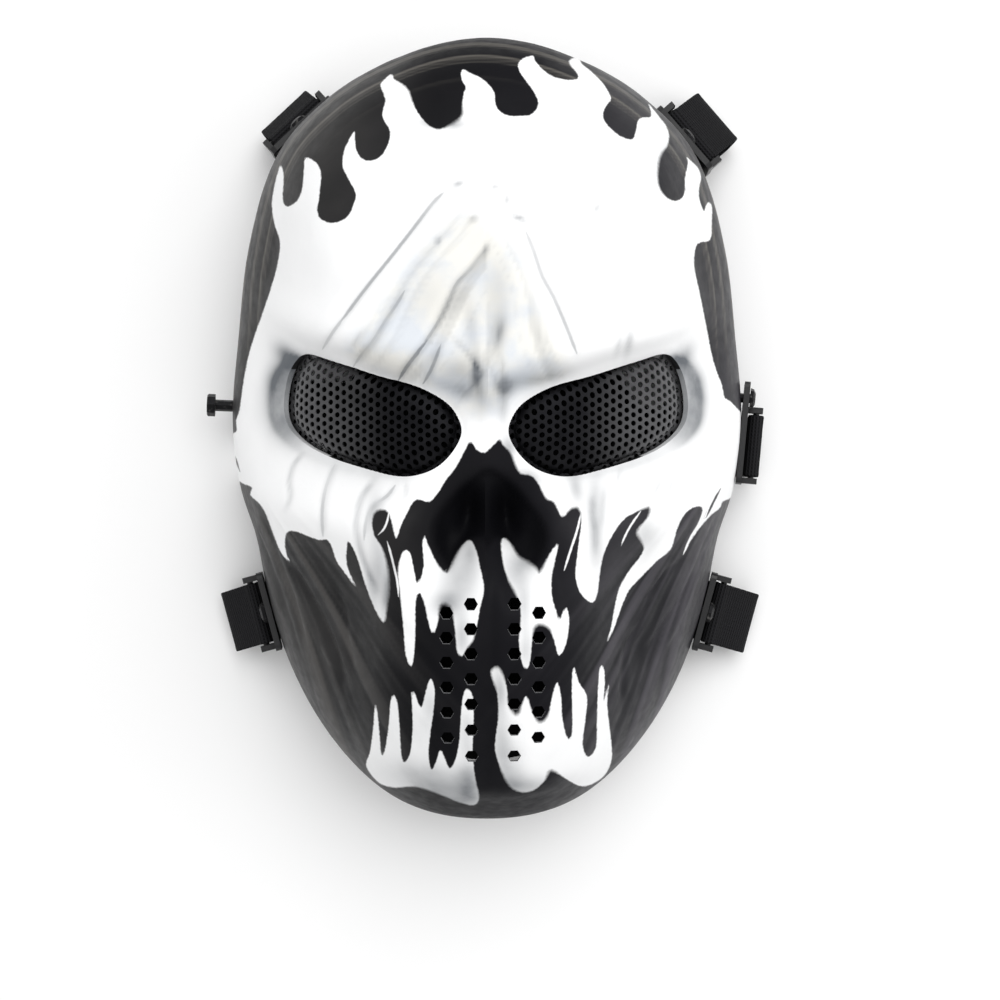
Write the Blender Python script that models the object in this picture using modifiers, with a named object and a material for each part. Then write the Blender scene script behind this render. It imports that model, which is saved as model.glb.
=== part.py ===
"""A full-face skull mask lying face up on its rim: a hollow moulded shell with two domed eye
screens, five strap brackets with their screws, one bare side stud and three elastic straps.

Metres, +Z out of the face, +Y to the crown, +X to the right of someone who looks at the face.
The origin is on the surface that the rim rests on, below the middle of the whole thing.
"""

import math

import bmesh
import bpy
import numpy as np
from mathutils import Matrix, Vector
from mathutils.bvhtree import BVHTree

# Shell
HALF_HEIGHT = 0.1449
HALF_WIDTH = 0.0991
FRONT_DEPTH = 0.1085
WALL = 0.0026
CHIN_LIFT = 0.034
RELIEF = 0.0100
ROUND_UP = 3.2
ROUND_CROWN = 11.0
ROUND_ACROSS = 2.05
ROUND_EDGE = 2.2
RIM_TRIM = 0.0008
CELLS_ACROSS = 26
CELLS_ALONG = 34
GRID_EVENNESS = 0.4
GRID_CROWDING = 0.30
GRID_CROWDING_AT = 0.12
FORMS_END = 0.97
FORMS_FADE = 0.13
SLOPE_STEP = 2e-5
NEAREST_RIM = 0.9990
WALL_SEARCH = (0.98, 1.02)
WALL_SEARCH_TURNS = 12
WALL_SEARCH_STEP = 0.25
WALL_SAMPLES = 9

# Eye openings and the perforated screens behind them
EYE_X = 0.0429
EYE_Y = 0.0031
EYE_HALF_WIDTH = 0.0346
EYE_HALF_HEIGHT = 0.0210
SOCKET_DEPTH = 0.0062
SOCKET_SPREAD = 0.68
SCREEN_THICKNESS = 0.0011
SCREEN_CLEARANCE = 0.0017
SCREEN_FLANGE = 0.0036
SCREEN_RISE = 0.0052
SCREEN_SHOULDER = 0.0090
SCREEN_HOLE = 0.0048
SCREEN_PITCH = 0.0078
SCREEN_CELLS = 10
SEAT_SAMPLES = 8
SCREEN_GAP = 0.0006
SCREEN_EDGE_RING = 0.8

# Breathing vents beside the mouth's groove
VENT_ACROSS_CORNERS = 0.0047
VENT_PITCH = 0.0082
VENT_SPREAD = 0.0000155
VENT_MIDDLE = 0.0026
VENT_COLUMNS = (
    # distance from the vents' middle, height of the top vent, number of vents
    (0.0072, -0.0603, 7),
    (0.0153, -0.0633, 6),
)

# Straps: flat elastic webbing
STRAP_WIDTH = 0.0240
STRAP_THICKNESS = 0.0016
STRAP_TAIL_HEIGHT = 0.0034
STRAP_ARCH = 0.0034
STRAP_ARCH_MARGIN = 0.0020
STRAP_LOOP = (
    # back from the slack loop's reach, height over the floor's line
    (0.0012, 0.0020),
    (0.0048, 0.0000),
)
STRAP_LOOP_MIDDLE = 0.55
STRAP_INSIDE_RIM = (0.004, 0.016)
STRAP_UP_WALL = (
    # inside the wall's foot, height over the floor's line
    (0.0160, 0.0000),
    (0.0060, 0.0000),
    (0.0012, 0.0020),
)
STRAP_WALL_RISE = 0.0060
STRAP_END = 1.6
CROSSING_POINTS = 13
CROSSING_PULL = 0.34
FOLD_FROM = 0.15
FOLD_SPAN = 0.70

# Brackets, each a plate with two cheeks and a bar that a strap turns round
GAP = 0.0003
PLATE_THICKNESS = 0.0022
PLATE_LENGTH = 0.0200
PLATE_FOOT = 0.0065
PLATE_MARGIN = 0.0005
CHEEK_THICKNESS = 0.0022
CHEEK_HEIGHT = 0.0085
BAR_RADIUS = 0.0012
BAR_HEIGHT = 0.0052
SCREW_HEIGHT = 0.0150

# Screws and the bare stud
SHANK_RADIUS = 0.0018
SCREW_HEAD_RADIUS = 0.0040
SCREW_HEAD_THICKNESS = 0.0020
NUT_RADIUS = 0.0038
NUT_THICKNESS = 0.0025
STUD_SHANK_RADIUS = 0.0022
STUD_HEAD_RADIUS = 0.0043
STUD_HEAD_THICKNESS = 0.0031
STUD_REACH = 0.0098
STUD_HEIGHT = 0.0170
TURNED_SIDES = 8
SCREW_HEAD_ROUND = (
    # share of the head's thickness, share of its radius
    (1.0, 0.55),
    (0.6, 0.92),
)
STUD_HEAD_ROUND = (
    # share of the head's thickness, share of its radius
    (1.0, 0.88),
    (0.85, 1.00),
)

# The rim seen from the front: reach is a share of the ellipse of the two half sizes in that
# direction, and lift is a share of the chin's lift off the surface
OUTLINE = (
    # degrees from the crown, reach, lift
    (0, 1.000, 0.00),
    (20, 1.012, 0.00),
    (35, 1.050, 0.00),
    (48, 1.083, 0.00),
    (62, 1.052, 0.00),
    (75, 1.012, 0.00),
    (90, 1.002, 0.00),
    (99, 0.982, 0.00),
    (107, 0.952, 0.00),
    (116, 0.964, 0.00),
    (127, 0.989, 0.00),
    (143, 1.012, 0.22),
    (158, 1.016, 0.70),
    (180, 1.000, 1.00),
)

# Depth of the face down its middle, as a share of the front depth
FRONT = (
    # height as a share of the half height, depth
    (-1.00, 0.95),
    (-0.80, 0.98),
    (-0.50, 1.00),
    (0.10, 1.00),
    (0.40, 0.985),
    (0.70, 0.945),
    (1.00, 0.88),
)

# Swells and hollows of the face. Places are shares of the half width and half height, spreads are
# shares of the half width, and heights are shares of the relief. Each is on both sides.
FORMS = (
    # across, along, spread along, spread across, degrees, height, sharpness
    (0.44, 0.185, 0.36, 0.085, 15, 0.55, 2),  # brow
    (0.00, 0.06, 0.10, 0.20, 0, 0.22, 2),  # root of the nose
    (0.00, 0.36, 0.24, 0.34, 0, 0.16, 2),  # frown
    (0.80, 0.42, 0.18, 0.27, 0, -0.40, 2),  # temple
    (0.60, -0.215, 0.30, 0.10, 14, 0.42, 2),  # cheekbone
    (0.54, -0.46, 0.17, 0.28, -12, -0.70, 2),  # hollow of the cheek
    (0.00, -0.61, 0.36, 0.47, 0, 0.45, 4),  # muzzle
    (0.00, -0.87, 0.24, 0.12, 0, 0.20, 2),  # chin
    (0.094, -0.262, 0.110, 0.175, 22, -1.45, 2),  # nose cavity
)

# Outline of the right eye opening, in shares of its half sizes
EYE_OUTLINE = (
    # across, along
    (0.65, 1.00),
    (0.30, 0.81),
    (-0.14, 0.56),
    (-0.57, 0.36),
    (-0.87, 0.10),
    (-1.00, -0.24),
    (-0.91, -0.59),
    (-0.70, -0.88),
    (-0.41, -1.00),
    (-0.03, -0.93),
    (0.36, -0.75),
    (0.70, -0.50),
    (0.93, -0.17),
    (1.00, 0.20),
    (0.96, 0.66),
    (0.84, 0.93),
)

# Where the strap brackets sit on the rim. The screw's offset is from the strap's middle, up the
# face, and the bulge is how far the strap's slack loop stands out of the wall.
BRACKETS = (
    # name, side, degrees from the crown, screw offset, bulge
    ("upper_left_bracket", -1, 41.5, 0.0000, 0.0145),
    ("upper_right_bracket", 1, 44.5, 0.0000, 0.0205),
    ("middle_right_bracket", 1, 91.8, 0.0175, 0.0082),
    ("lower_left_bracket", -1, 119.5, 0.0000, 0.0185),
    ("lower_right_bracket", 1, 119.5, 0.0000, 0.0205),
)
STUD_SIDE, STUD_DEGREES = -1, 85.9

# The straps, from their right end to their left end, with the height of the slack fold in their
# middle. Without a left bracket, a strap ends at the stud.
STRAPS = (
    # name, right bracket, left bracket, fold height
    ("upper_strap", "upper_right_bracket", "upper_left_bracket", 0.010),
    ("middle_strap", "middle_right_bracket", None, 0.012),
    ("lower_strap", "lower_right_bracket", "lower_left_bracket", 0.010),
)

COLOURS = {
    # red, green, blue, roughness, metallic
    "shell": (0.86, 0.87, 0.88, 0.45, 0.0),
    "screen": (0.02, 0.02, 0.022, 0.40, 0.9),
    "plastic": (0.02, 0.02, 0.022, 0.35, 0.0),
    "metal": (0.03, 0.03, 0.03, 0.35, 0.8),
    "webbing": (0.012, 0.012, 0.013, 0.85, 0.0),
}


def eased(at, table, column):
    """A table's column as a smooth curve over its first column, flat at both ends."""
    knots = np.array([row[0] for row in table], float)
    values = np.array([row[column] for row in table], float)
    slopes = np.gradient(values, knots)
    slopes[0] = slopes[-1] = 0.0
    at = np.clip(at, knots[0], knots[-1])
    i = np.clip(np.searchsorted(knots, at, side="right") - 1, 0, len(knots) - 2)
    step = knots[i + 1] - knots[i]
    t = (at - knots[i]) / step
    rise = t * t * (3 - 2 * t)
    start = t * (1 - t) ** 2 * step * slopes[i]
    end = t * t * (t - 1) * step * slopes[i + 1]
    return values[i] + (values[i + 1] - values[i]) * rise + start + end


def smooth(t):
    """An ease from 0 to 1 as t goes from 0 to 1."""
    t = np.clip(t, 0, 1)
    return t * t * (3 - 2 * t)


def rounded_loop(corners, steps):
    """A closed smooth curve through the corners, as points with a number of steps to each."""
    corners = np.array(corners, float)
    count = len(corners)
    points = []
    for i in range(count):
        a, b, c, d = (corners[(i + k) % count] for k in (-1, 0, 1, 2))
        for j in range(steps):
            t = j / steps
            points.append(
                0.5 * (2 * b + (c - a) * t + (2 * a - 5 * b + 4 * c - d) * t**2)
                + 0.5 * (3 * b - a - 3 * c + d) * t**3
            )
    return np.array(points)


# The shell's base form


def rim_point(degrees, side=1):
    """The rim's outer edge in a direction, seen from the front."""
    turn = np.radians(degrees)
    reach = eased(np.abs(degrees), OUTLINE, 1)
    return side * HALF_WIDTH * reach * np.sin(turn), HALF_HEIGHT * reach * np.cos(turn)


def rim_lift(turn):
    """Height of the rim over the surface, which the chin's part sweeps up from."""
    return CHIN_LIFT * eased(np.degrees(np.abs(turn)), OUTLINE, 2)


def gauge_of(x, y):
    """How far out a place is, from 0 in the middle to 1 at the rim, and its direction."""
    turn = np.arctan2(x / HALF_WIDTH, y / HALF_HEIGHT)
    reach = eased(np.degrees(np.abs(turn)), OUTLINE, 1)
    return np.hypot(x / HALF_WIDTH, y / HALF_HEIGHT) / reach, turn


def base_height(x, y):
    """Height of the plain dome over the surface."""
    gauge, turn = gauge_of(x, y)
    gauge = np.clip(gauge, 0, 1)
    lift = rim_lift(turn)
    front = FRONT_DEPTH * eased(y / HALF_HEIGHT, FRONT, 1)
    roundness = ROUND_ACROSS * np.sin(turn) ** 2 + ROUND_UP * np.cos(turn) ** 2
    roundness = roundness + ROUND_CROWN * np.maximum(np.cos(turn), 0) ** 3
    return lift + (front - lift) * (1 - gauge**roundness) ** (1 / ROUND_EDGE)


def base_frame(x, y):
    """Points of the plain dome and their outward normals, level at the rim."""
    gauge, _ = gauge_of(x, y)
    inside = np.minimum(1.0, NEAREST_RIM / np.maximum(gauge, 1e-9))
    step = SLOPE_STEP
    u, v = x * inside, y * inside
    slope_x = (base_height(u + step, v) - base_height(u - step, v)) / (2 * step)
    slope_y = (base_height(u, v + step) - base_height(u, v - step)) / (2 * step)
    normals = np.stack([-slope_x, -slope_y, np.ones_like(slope_x)], -1)
    normals[gauge > (1 + NEAREST_RIM) / 2, 2] = 0.0
    normals /= np.linalg.norm(normals, axis=-1, keepdims=True)
    return np.stack([x, y, base_height(x, y)], -1), normals


def eye_loop(steps=3):
    """The right eye opening's outline, seen along the dome's normals."""
    loop = rounded_loop(EYE_OUTLINE, steps)
    return loop * (EYE_HALF_WIDTH, EYE_HALF_HEIGHT) + (EYE_X, EYE_Y)


def eye_gauge(x, y):
    """0 in the middle of the nearer eye opening, 1 on its outline, more outside."""
    loop = eye_loop() - (EYE_X, EYE_Y)
    angles = np.arctan2(loop[:, 1], loop[:, 0])
    order = np.argsort(angles)
    u, v = np.abs(x) - EYE_X, y - EYE_Y
    reach = np.interp(
        np.arctan2(v, u), angles[order], np.hypot(*loop.T)[order], period=2 * math.pi
    )
    return np.hypot(u, v) / reach


def relief(x, y):
    """How far the face's forms stand out of the plain dome, along its normal."""
    out = np.zeros_like(x)
    for across, along, long, short, degrees, height, sharp in FORMS:
        turn = math.radians(degrees)
        u = (np.abs(x) - across * HALF_WIDTH) / HALF_WIDTH
        v = (y - along * HALF_HEIGHT) / HALF_WIDTH
        p = (u * math.cos(turn) + v * math.sin(turn)) / long
        q = (v * math.cos(turn) - u * math.sin(turn)) / short
        out += RELIEF * height * np.exp(-(np.abs(p) ** sharp) - np.abs(q) ** sharp)
    socket = np.exp(-((np.maximum(eye_gauge(x, y) - 1.0, 0) / SOCKET_SPREAD) ** 2))
    out -= SOCKET_DEPTH * socket
    gauge, _ = gauge_of(x, y)
    return out * smooth((FORMS_END - gauge) / FORMS_FADE)


def on_face(x, y, depth=0.0):
    """Points at a depth below the sculpted surface, over places seen from the front."""
    points, normals = base_frame(x, y)
    return points + normals * (relief(x, y) - depth)[..., None]


# Helpers that make objects


def collection_named(name):
    group = bpy.data.collections.new(name)
    bpy.context.scene.collection.children.link(group)
    return group


def material_named(name):
    red, green, blue, roughness, metallic = COLOURS[name]
    material = bpy.data.materials.new(name)
    material.use_nodes = True
    shader = material.node_tree.nodes["Principled BSDF"]
    shader.inputs["Base Color"].default_value = (red, green, blue, 1)
    shader.inputs["Roughness"].default_value = roughness
    shader.inputs["Metallic"].default_value = metallic
    return material


def object_from(name, mesh_data, group, material=None, smooth_degrees=None):
    """An object from a bmesh, which is freed."""
    mesh = bpy.data.meshes.new(name)
    bmesh.ops.recalc_face_normals(mesh_data, faces=mesh_data.faces)
    mesh_data.to_mesh(mesh)
    mesh_data.free()
    if smooth_degrees:
        mesh.shade_smooth()
        mesh.set_sharp_from_angle(angle=math.radians(smooth_degrees))
    if material:
        mesh.materials.append(material)
    made = bpy.data.objects.new(name, mesh)
    group.objects.link(made)
    return made


def hide(helper):
    """Keeps a cutter or a guide out of the model."""
    helper.hide_render = True
    helper.display_type = "WIRE"
    return helper


def boolean(target, helper, operation):
    modifier = target.modifiers.new(helper.name, "BOOLEAN")
    modifier.operation = operation
    modifier.solver = "EXACT"
    modifier.object = hide(helper)


def box(name, low, high, frame, group):
    """A box between two corners of a local frame."""
    data = bmesh.new()
    bmesh.ops.create_cube(data, size=1.0)
    low, high = Vector(low), Vector(high)
    size = high - low
    bmesh.ops.scale(data, vec=size, verts=data.verts)
    bmesh.ops.translate(data, vec=(low + high) / 2, verts=data.verts)
    bmesh.ops.transform(data, matrix=frame, verts=data.verts)
    return object_from(name, data, group)


def cylinder(name, radius, start, end, frame, group, sides=TURNED_SIDES):
    """A round bar between two points of a local frame."""
    data = bmesh.new()
    start, end = Vector(start), Vector(end)
    axis = end - start
    bmesh.ops.create_cone(
        data, cap_ends=True, segments=sides, radius1=radius, radius2=radius, depth=axis.length
    )
    place = Matrix.Translation((start + end) / 2) @ axis.to_track_quat("Z", "Y").to_matrix().to_4x4()
    bmesh.ops.transform(data, matrix=frame @ place, verts=data.verts)
    return object_from(name, data, group)


# The shell and its openings


def laid_grid(name, cells_across, cells_along, lay, thickness, group, material):
    """A square grid laid over a curved surface by a function, then thickened inwards."""
    data = bmesh.new()
    bmesh.ops.create_grid(data, x_segments=cells_across, y_segments=cells_along, size=1.0)
    square = np.array([vertex.co for vertex in data.verts])
    for vertex, point in zip(data.verts, lay(square[:, 0], square[:, 1])):
        vertex.co = point
    sheet = object_from(name, data, group, material)
    if sum(face.normal.z for face in sheet.data.polygons) < 0:
        sheet.data.flip_normals()
    solidify = sheet.modifiers.new("wall", "SOLIDIFY")
    solidify.thickness = thickness
    solidify.offset = -1
    facets = sheet.modifiers.new("facets", "TRIANGULATE")
    facets.quad_method = "SHORTEST_DIAGONAL"
    return sheet


def lay_shell(a, b):
    """The shell's outer face over a square, whose edge becomes the rim."""
    b = b - GRID_CROWDING * (1 - b * b) ** 2 * (b + GRID_CROWDING_AT)
    p, q = a * np.sqrt(1 - b * b / 2), b * np.sqrt(1 - a * a / 2)
    out = np.clip(np.hypot(p, q), 0, 1)
    turn = np.arctan2(p, q)
    gauge = GRID_EVENNESS * out + (1 - GRID_EVENNESS) * np.sin(out * math.pi / 2)
    reach = eased(np.degrees(np.abs(turn)), OUTLINE, 1)
    x = HALF_WIDTH * reach * gauge * np.sin(turn)
    y = HALF_HEIGHT * reach * gauge * np.cos(turn)
    points = on_face(x, y)
    lift = rim_lift(turn)
    spare = RIM_TRIM * (1 - smooth(lift / (2 * RIM_TRIM)))
    points[out > 0.9999, 2] -= spare[out > 0.9999]
    return points


def make_wall(name, group, material=None):
    """The shell's wall before anything is cut out of it."""
    return laid_grid(name, CELLS_ACROSS, CELLS_ALONG, lay_shell, WALL, group, material)


def make_shell(frames, group, cutters, material):
    shell = make_wall("shell", group, material)
    shell.data.shade_smooth()
    boolean(shell, floor_cutter(cutters), "DIFFERENCE")
    boolean(shell, openings_cutter(frames, cutters), "DIFFERENCE")
    return shell


def openings_cutter(frames, cutters):
    """Plugs through the eye openings, the vents and the holes for the screws and the stud."""
    data = bmesh.new()
    for side in (-1, 1):
        add_eye_plug(data, side)
        for distance, top, count in VENT_COLUMNS:
            for row in range(count):
                x = VENT_MIDDLE + side * distance
                middle = (x, top - row * VENT_PITCH - row**3 * VENT_SPREAD, FRONT_DEPTH)
                turn = Matrix.Rotation(math.pi / 6, 4, "Z")
                frame = Matrix.Translation(middle) @ turn
                add_plug(data, VENT_ACROSS_CORNERS / 2, FRONT_DEPTH, frame, 6)
    shanks = [(screw_frame(row, frames[row[0]]), SHANK_RADIUS) for row in BRACKETS]
    shanks.append((stud_frame(), STUD_SHANK_RADIUS))
    for frame, radius in shanks:
        turn = Matrix.Rotation(-math.pi / 2, 4, "X")
        add_plug(data, radius + GAP, 8 * WALL, frame @ turn, TURNED_SIDES)
    return object_from("openings", data, cutters)


def add_plug(data, radius, length, frame, sides):
    """A prism along a frame's Z axis, half of it on each side of its origin."""
    bmesh.ops.create_cone(
        data,
        cap_ends=True,
        segments=sides,
        radius1=radius,
        radius2=radius,
        depth=length,
        matrix=frame,
    )


def floor_cutter(cutters):
    """Everything below the surface that the rim rests on, and the openings for the straps."""
    size = 2 * HALF_HEIGHT
    floor = box("floor", (-size, -size, -size), (size, size, 0), Matrix.Identity(4), cutters)
    for name, side, degrees in [row[:3] for row in BRACKETS] + [("stud", STUD_SIDE, STUD_DEGREES)]:
        boolean(floor, arch_cutter(f"{name}_arch", side, degrees, cutters), "UNION")
    return floor


def arch_cutter(name, side, degrees, cutters):
    """The low opening in the rim that a strap passes through."""
    x, y = rim_point(degrees, side)
    turn = wall_frame(degrees, side, PLATE_FOOT).to_3x3()
    level = Vector((turn.col[1].x, turn.col[1].y, 0)).normalized()
    along = level.cross(Vector((0, 0, 1)))
    frame = Matrix((along, level, (0, 0, 1))).transposed().to_4x4()
    half = STRAP_WIDTH / 2 + STRAP_ARCH_MARGIN
    low = (-half, -STRAP_WIDTH / 2, -STRAP_ARCH)
    high = (half, STRAP_WIDTH / 2, STRAP_ARCH)
    return box(name, low, high, Matrix.Translation((x, y, 0)) @ frame, cutters)


def add_eye_plug(data, side):
    """A plug through an eye opening, lofted square to the dome between two curved ends."""
    loop = eye_loop(2)
    points, normals = base_frame(loop[:, 0], loop[:, 1])
    ends = []
    for depth in (-3 * WALL, SOCKET_DEPTH + 3 * WALL):
        ring = (points - normals * depth) * (side, 1, 1)
        ends.append([data.verts.new(point) for point in ring])
    rims = []
    for ring in ends:
        face = data.faces.new(ring)
        rims += face.edges
        bmesh.ops.triangulate(data, faces=[face])
    bmesh.ops.bridge_loops(data, edges=rims)


def make_wall_tree(cutters):
    """A search tree of the whole wall's faces, which what sits on the wall is placed by."""
    whole = hide(make_wall("whole_wall", cutters))
    return BVHTree.FromObject(whole, bpy.context.evaluated_depsgraph_get())


def wall_reach(tree, frame, half_across, low, high, outside):
    """How far the wall's face stands out along a frame's Y axis, over a flat patch."""
    out = frame.to_3x3() @ Vector((0, 1, 0))
    away = 4 * STRAP_WIDTH if outside else -STRAP_WIDTH
    found = []
    for across in np.linspace(-half_across, half_across, WALL_SAMPLES):
        for up in np.linspace(low, high, WALL_SAMPLES):
            start = frame @ Vector((across, away, up))
            hit = tree.ray_cast(start, -out if outside else out)[0]
            if hit is not None:
                found.append((frame.inverted() @ hit).y)
    return max(found) if outside else min(found)


def depth_of_wall(x, y, tree):
    """Depth of the wall's inner face below the sculpted surface."""
    points, normals = base_frame(x, y)
    depths = []
    for point, normal in zip(points, normals):
        start = Vector(point - normal * 2 * (SOCKET_DEPTH + RELIEF))
        hit = tree.ray_cast(start, Vector(normal))[0]
        depths.append((Vector(point) - hit).dot(Vector(normal)))
    return np.array(depths) + relief(x, y)


def screen_rise(x, y):
    """How far a screen's dome stands out of its flange."""
    inside = (1 - eye_gauge(x, y)) * EYE_HALF_HEIGHT - SCREEN_CLEARANCE
    climb = np.clip(inside / SCREEN_SHOULDER, 0, 1)
    return SCREEN_RISE * np.sqrt(1 - (1 - climb) ** 2)


def make_screen(name, side, tree, group, cutters, material):
    """A domed screen behind one eye opening, with a flange that the wall covers."""
    loop = eye_loop() - (EYE_X, EYE_Y)
    angles = np.arctan2(loop[:, 1], loop[:, 0])
    order = np.argsort(angles)
    reaches = np.hypot(*loop.T)[order]

    def lay(a, b):
        ring = np.maximum(np.abs(a), np.abs(b))
        turn = square_turn(a, b)
        reach = np.interp(turn, angles[order], reaches, period=2 * math.pi)
        edge = 1 - SCREEN_CLEARANCE / EYE_HALF_HEIGHT
        level = np.where(ring > SCREEN_EDGE_RING + 1e-6, 1 + SCREEN_FLANGE / reach, edge)
        level = np.where(ring < SCREEN_EDGE_RING, edge * ring / SCREEN_EDGE_RING, level)
        x = side * (EYE_X + reach * level * np.cos(turn))
        y = EYE_Y + reach * level * np.sin(turn)
        return on_face(x, y, depth_of_wall(x, y, tree) - screen_rise(x, y))

    cells = SCREEN_CELLS
    screen = laid_grid(name, cells, cells, lay, SCREEN_THICKNESS, group, material)
    seat_screen(screen, side, tree)
    screen.data.shade_smooth()
    boolean(screen, screen_cutter(side, cutters), "DIFFERENCE")
    return screen


def seat_screen(screen, side, tree):
    """Moves a screen straight back until its flange clears the wall by its gap."""
    _, normals = base_frame(np.array([side * EYE_X]), np.array([EYE_Y]))
    out = Vector(normals[0])
    screen.data.calc_loop_triangles()
    deepest = 0.0
    for triangle in screen.data.loop_triangles:
        corners = [screen.data.vertices[i].co for i in triangle.vertices]
        places = np.array(corners)
        if eye_gauge(places[:, 0], places[:, 1]).min() < 1 - 2 * SCREEN_CLEARANCE / EYE_HALF_HEIGHT:
            continue
        for i in range(SEAT_SAMPLES + 1):
            for j in range(SEAT_SAMPLES + 1 - i):
                a, b = i / SEAT_SAMPLES, j / SEAT_SAMPLES
                spot = corners[0] * (1 - a - b) + corners[1] * a + corners[2] * b
                hit = tree.ray_cast(spot - out * (RELIEF + SOCKET_DEPTH), out)[0]
                if hit is not None:
                    deepest = max(deepest, (spot - hit).dot(out))
    screen.data.transform(Matrix.Translation(out * -(deepest + SCREEN_GAP)))


def square_turn(a, b):
    """The angle of a place on a square whose rings are to become circles."""
    wide = np.abs(a) >= np.abs(b)
    main = np.where(wide, a, b)
    share = np.where(wide, b, a) / np.where(main == 0, 1, main)
    turn = np.where(wide, share, 2 - share) * math.pi / 4
    return turn + np.where(main < 0, math.pi, 0)


def screen_cutter(side, cutters):
    """Six-sided plugs through a screen's dome, in staggered columns."""
    data = bmesh.new()
    column_step = SCREEN_PITCH * math.sqrt(3) / 2
    columns = int(EYE_HALF_WIDTH / column_step) + 1
    rows = int(EYE_HALF_HEIGHT / SCREEN_PITCH) + 1
    margin = 1 - (SCREEN_CLEARANCE + 0.75 * SCREEN_HOLE) / EYE_HALF_HEIGHT
    for i in range(-columns, columns + 1):
        for j in range(-rows, rows + 1):
            x = EYE_X + i * column_step
            y = EYE_Y + (j + (i % 2) / 2) * SCREEN_PITCH
            if eye_gauge(np.array([x]), np.array([y]))[0] > margin:
                continue
            point, normal = (a[0] for a in base_frame(np.array([x]), np.array([y])))
            middle = Vector(point * (side, 1, 1))
            axis = Vector(normal * (side, 1, 1))
            turn = axis.to_track_quat("Z", "Y").to_matrix().to_4x4()
            frame = Matrix.Translation(middle) @ turn
            add_plug(data, SCREEN_HOLE / 2, 4 * (SOCKET_DEPTH + WALL), frame, 6)
    return object_from(f"screen_cutter_{side}", data, cutters)


# Brackets, screws and the stud


def wall_frame(degrees, side, height):
    """The wall's frame at a height: X along the rim, Y out of the wall, Z up the wall."""
    gauge, farthest = WALL_SEARCH
    for _ in range(WALL_SEARCH_TURNS):
        x, y = (gauge * c for c in rim_point(degrees, side))
        too_high = (base_height(x, y) - height) / FRONT_DEPTH
        gauge += WALL_SEARCH_STEP * too_high * (farthest - gauge)
    place = np.array([x]), np.array([y])
    point, normal = (a[0] for a in base_frame(*place))
    out = Vector(normal)
    along = out.cross(Vector((0, 0, 1))).normalized()
    up = along.cross(out)
    frame = Matrix((along, out, up)).transposed().to_4x4()
    return Matrix.Translation(Vector(point)) @ frame


def bracket_frame(row, tree):
    """A bracket's frame: its origin is at the foot of its plate, on the wall's outer face."""
    _, side, degrees, _, _ = row
    frame = wall_frame(degrees, side, PLATE_FOOT + PLATE_LENGTH / 2)
    half = STRAP_WIDTH / 2
    seat = wall_reach(tree, frame, half, -PLATE_LENGTH / 2, PLATE_LENGTH / 2, True)
    return frame @ Matrix.Translation((0, seat + GAP, -PLATE_LENGTH / 2))


def bar_offset():
    """Distance of a bar's middle from its plate's back, with the strap's tail between them."""
    return PLATE_THICKNESS + 2 * GAP + STRAP_THICKNESS + BAR_RADIUS


def make_bracket(row, frame, group, cutters, material):
    """A plate with two cheeks and the bar between them."""
    name, side, _, screw_offset, _ = row
    half = STRAP_WIDTH / 2 + 2 * GAP
    reach = -side * screw_offset
    high = half + CHEEK_THICKNESS + PLATE_MARGIN
    low = -high
    if screw_offset:
        low = min(low, reach - SCREW_HEAD_RADIUS - CHEEK_THICKNESS)
        high = max(high, reach + SCREW_HEAD_RADIUS + CHEEK_THICKNESS)
    data = bmesh.new()
    bmesh.ops.create_cube(data, size=1.0)
    size = Vector((high - low, PLATE_THICKNESS, PLATE_LENGTH))
    bmesh.ops.scale(data, vec=size, verts=data.verts)
    bmesh.ops.translate(
        data,
        vec=((low + high) / 2, PLATE_THICKNESS / 2, PLATE_LENGTH / 2),
        verts=data.verts,
    )
    corners = [e for e in data.edges if abs((e.verts[0].co - e.verts[1].co).y) > 1e-6]
    bmesh.ops.bevel(
        data, geom=corners, offset=PLATE_THICKNESS, segments=3, affect="EDGES", profile=0.5
    )
    bmesh.ops.transform(data, matrix=frame, verts=data.verts)
    bracket = object_from(name, data, group, material, 40)
    depth = bar_offset() + 2 * BAR_RADIUS
    for end in (-1, 1):
        near, far = sorted((end * half, end * (half + CHEEK_THICKNESS)))
        cheek = box(
            f"{name}_cheek_{end}",
            (near, PLATE_THICKNESS / 2, BAR_HEIGHT - 2 * BAR_RADIUS),
            (far, depth, CHEEK_HEIGHT),
            frame,
            cutters,
        )
        boolean(bracket, cheek, "UNION")
    bar = cylinder(
        f"{name}_bar",
        BAR_RADIUS,
        (-half - CHEEK_THICKNESS / 2, bar_offset(), BAR_HEIGHT),
        (half + CHEEK_THICKNESS / 2, bar_offset(), BAR_HEIGHT),
        frame,
        cutters,
        8,
    )
    boolean(bracket, bar, "UNION")
    return bracket


def screw_spot(row):
    """Where a bracket's screw crosses its plate's back, in the bracket's frame."""
    _, side, _, screw_offset, _ = row
    return Vector((-side * screw_offset, 0, SCREW_HEIGHT))


def turned(name, profile, frame, group, material):
    """A solid turned about a frame's Y axis from (distance along, radius) pairs, outer end first."""
    data = bmesh.new()
    closed = ((profile[0][0], 0.0), *profile, (profile[-1][0], 0.0))
    verts = [data.verts.new((radius, 0, along)) for along, radius in closed]
    for pair in zip(verts, verts[1:]):
        data.edges.new(pair)
    solid = object_from(name, data, group, material)
    solid.matrix_world = frame @ Matrix.Rotation(-math.pi / 2, 4, "X")
    turn = solid.modifiers.new("turn", "SCREW")
    turn.steps = turn.render_steps = TURNED_SIDES
    turn.use_merge_vertices = True
    turn.merge_threshold = GAP / 10
    turn.use_smooth_shade = False
    return solid


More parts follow.
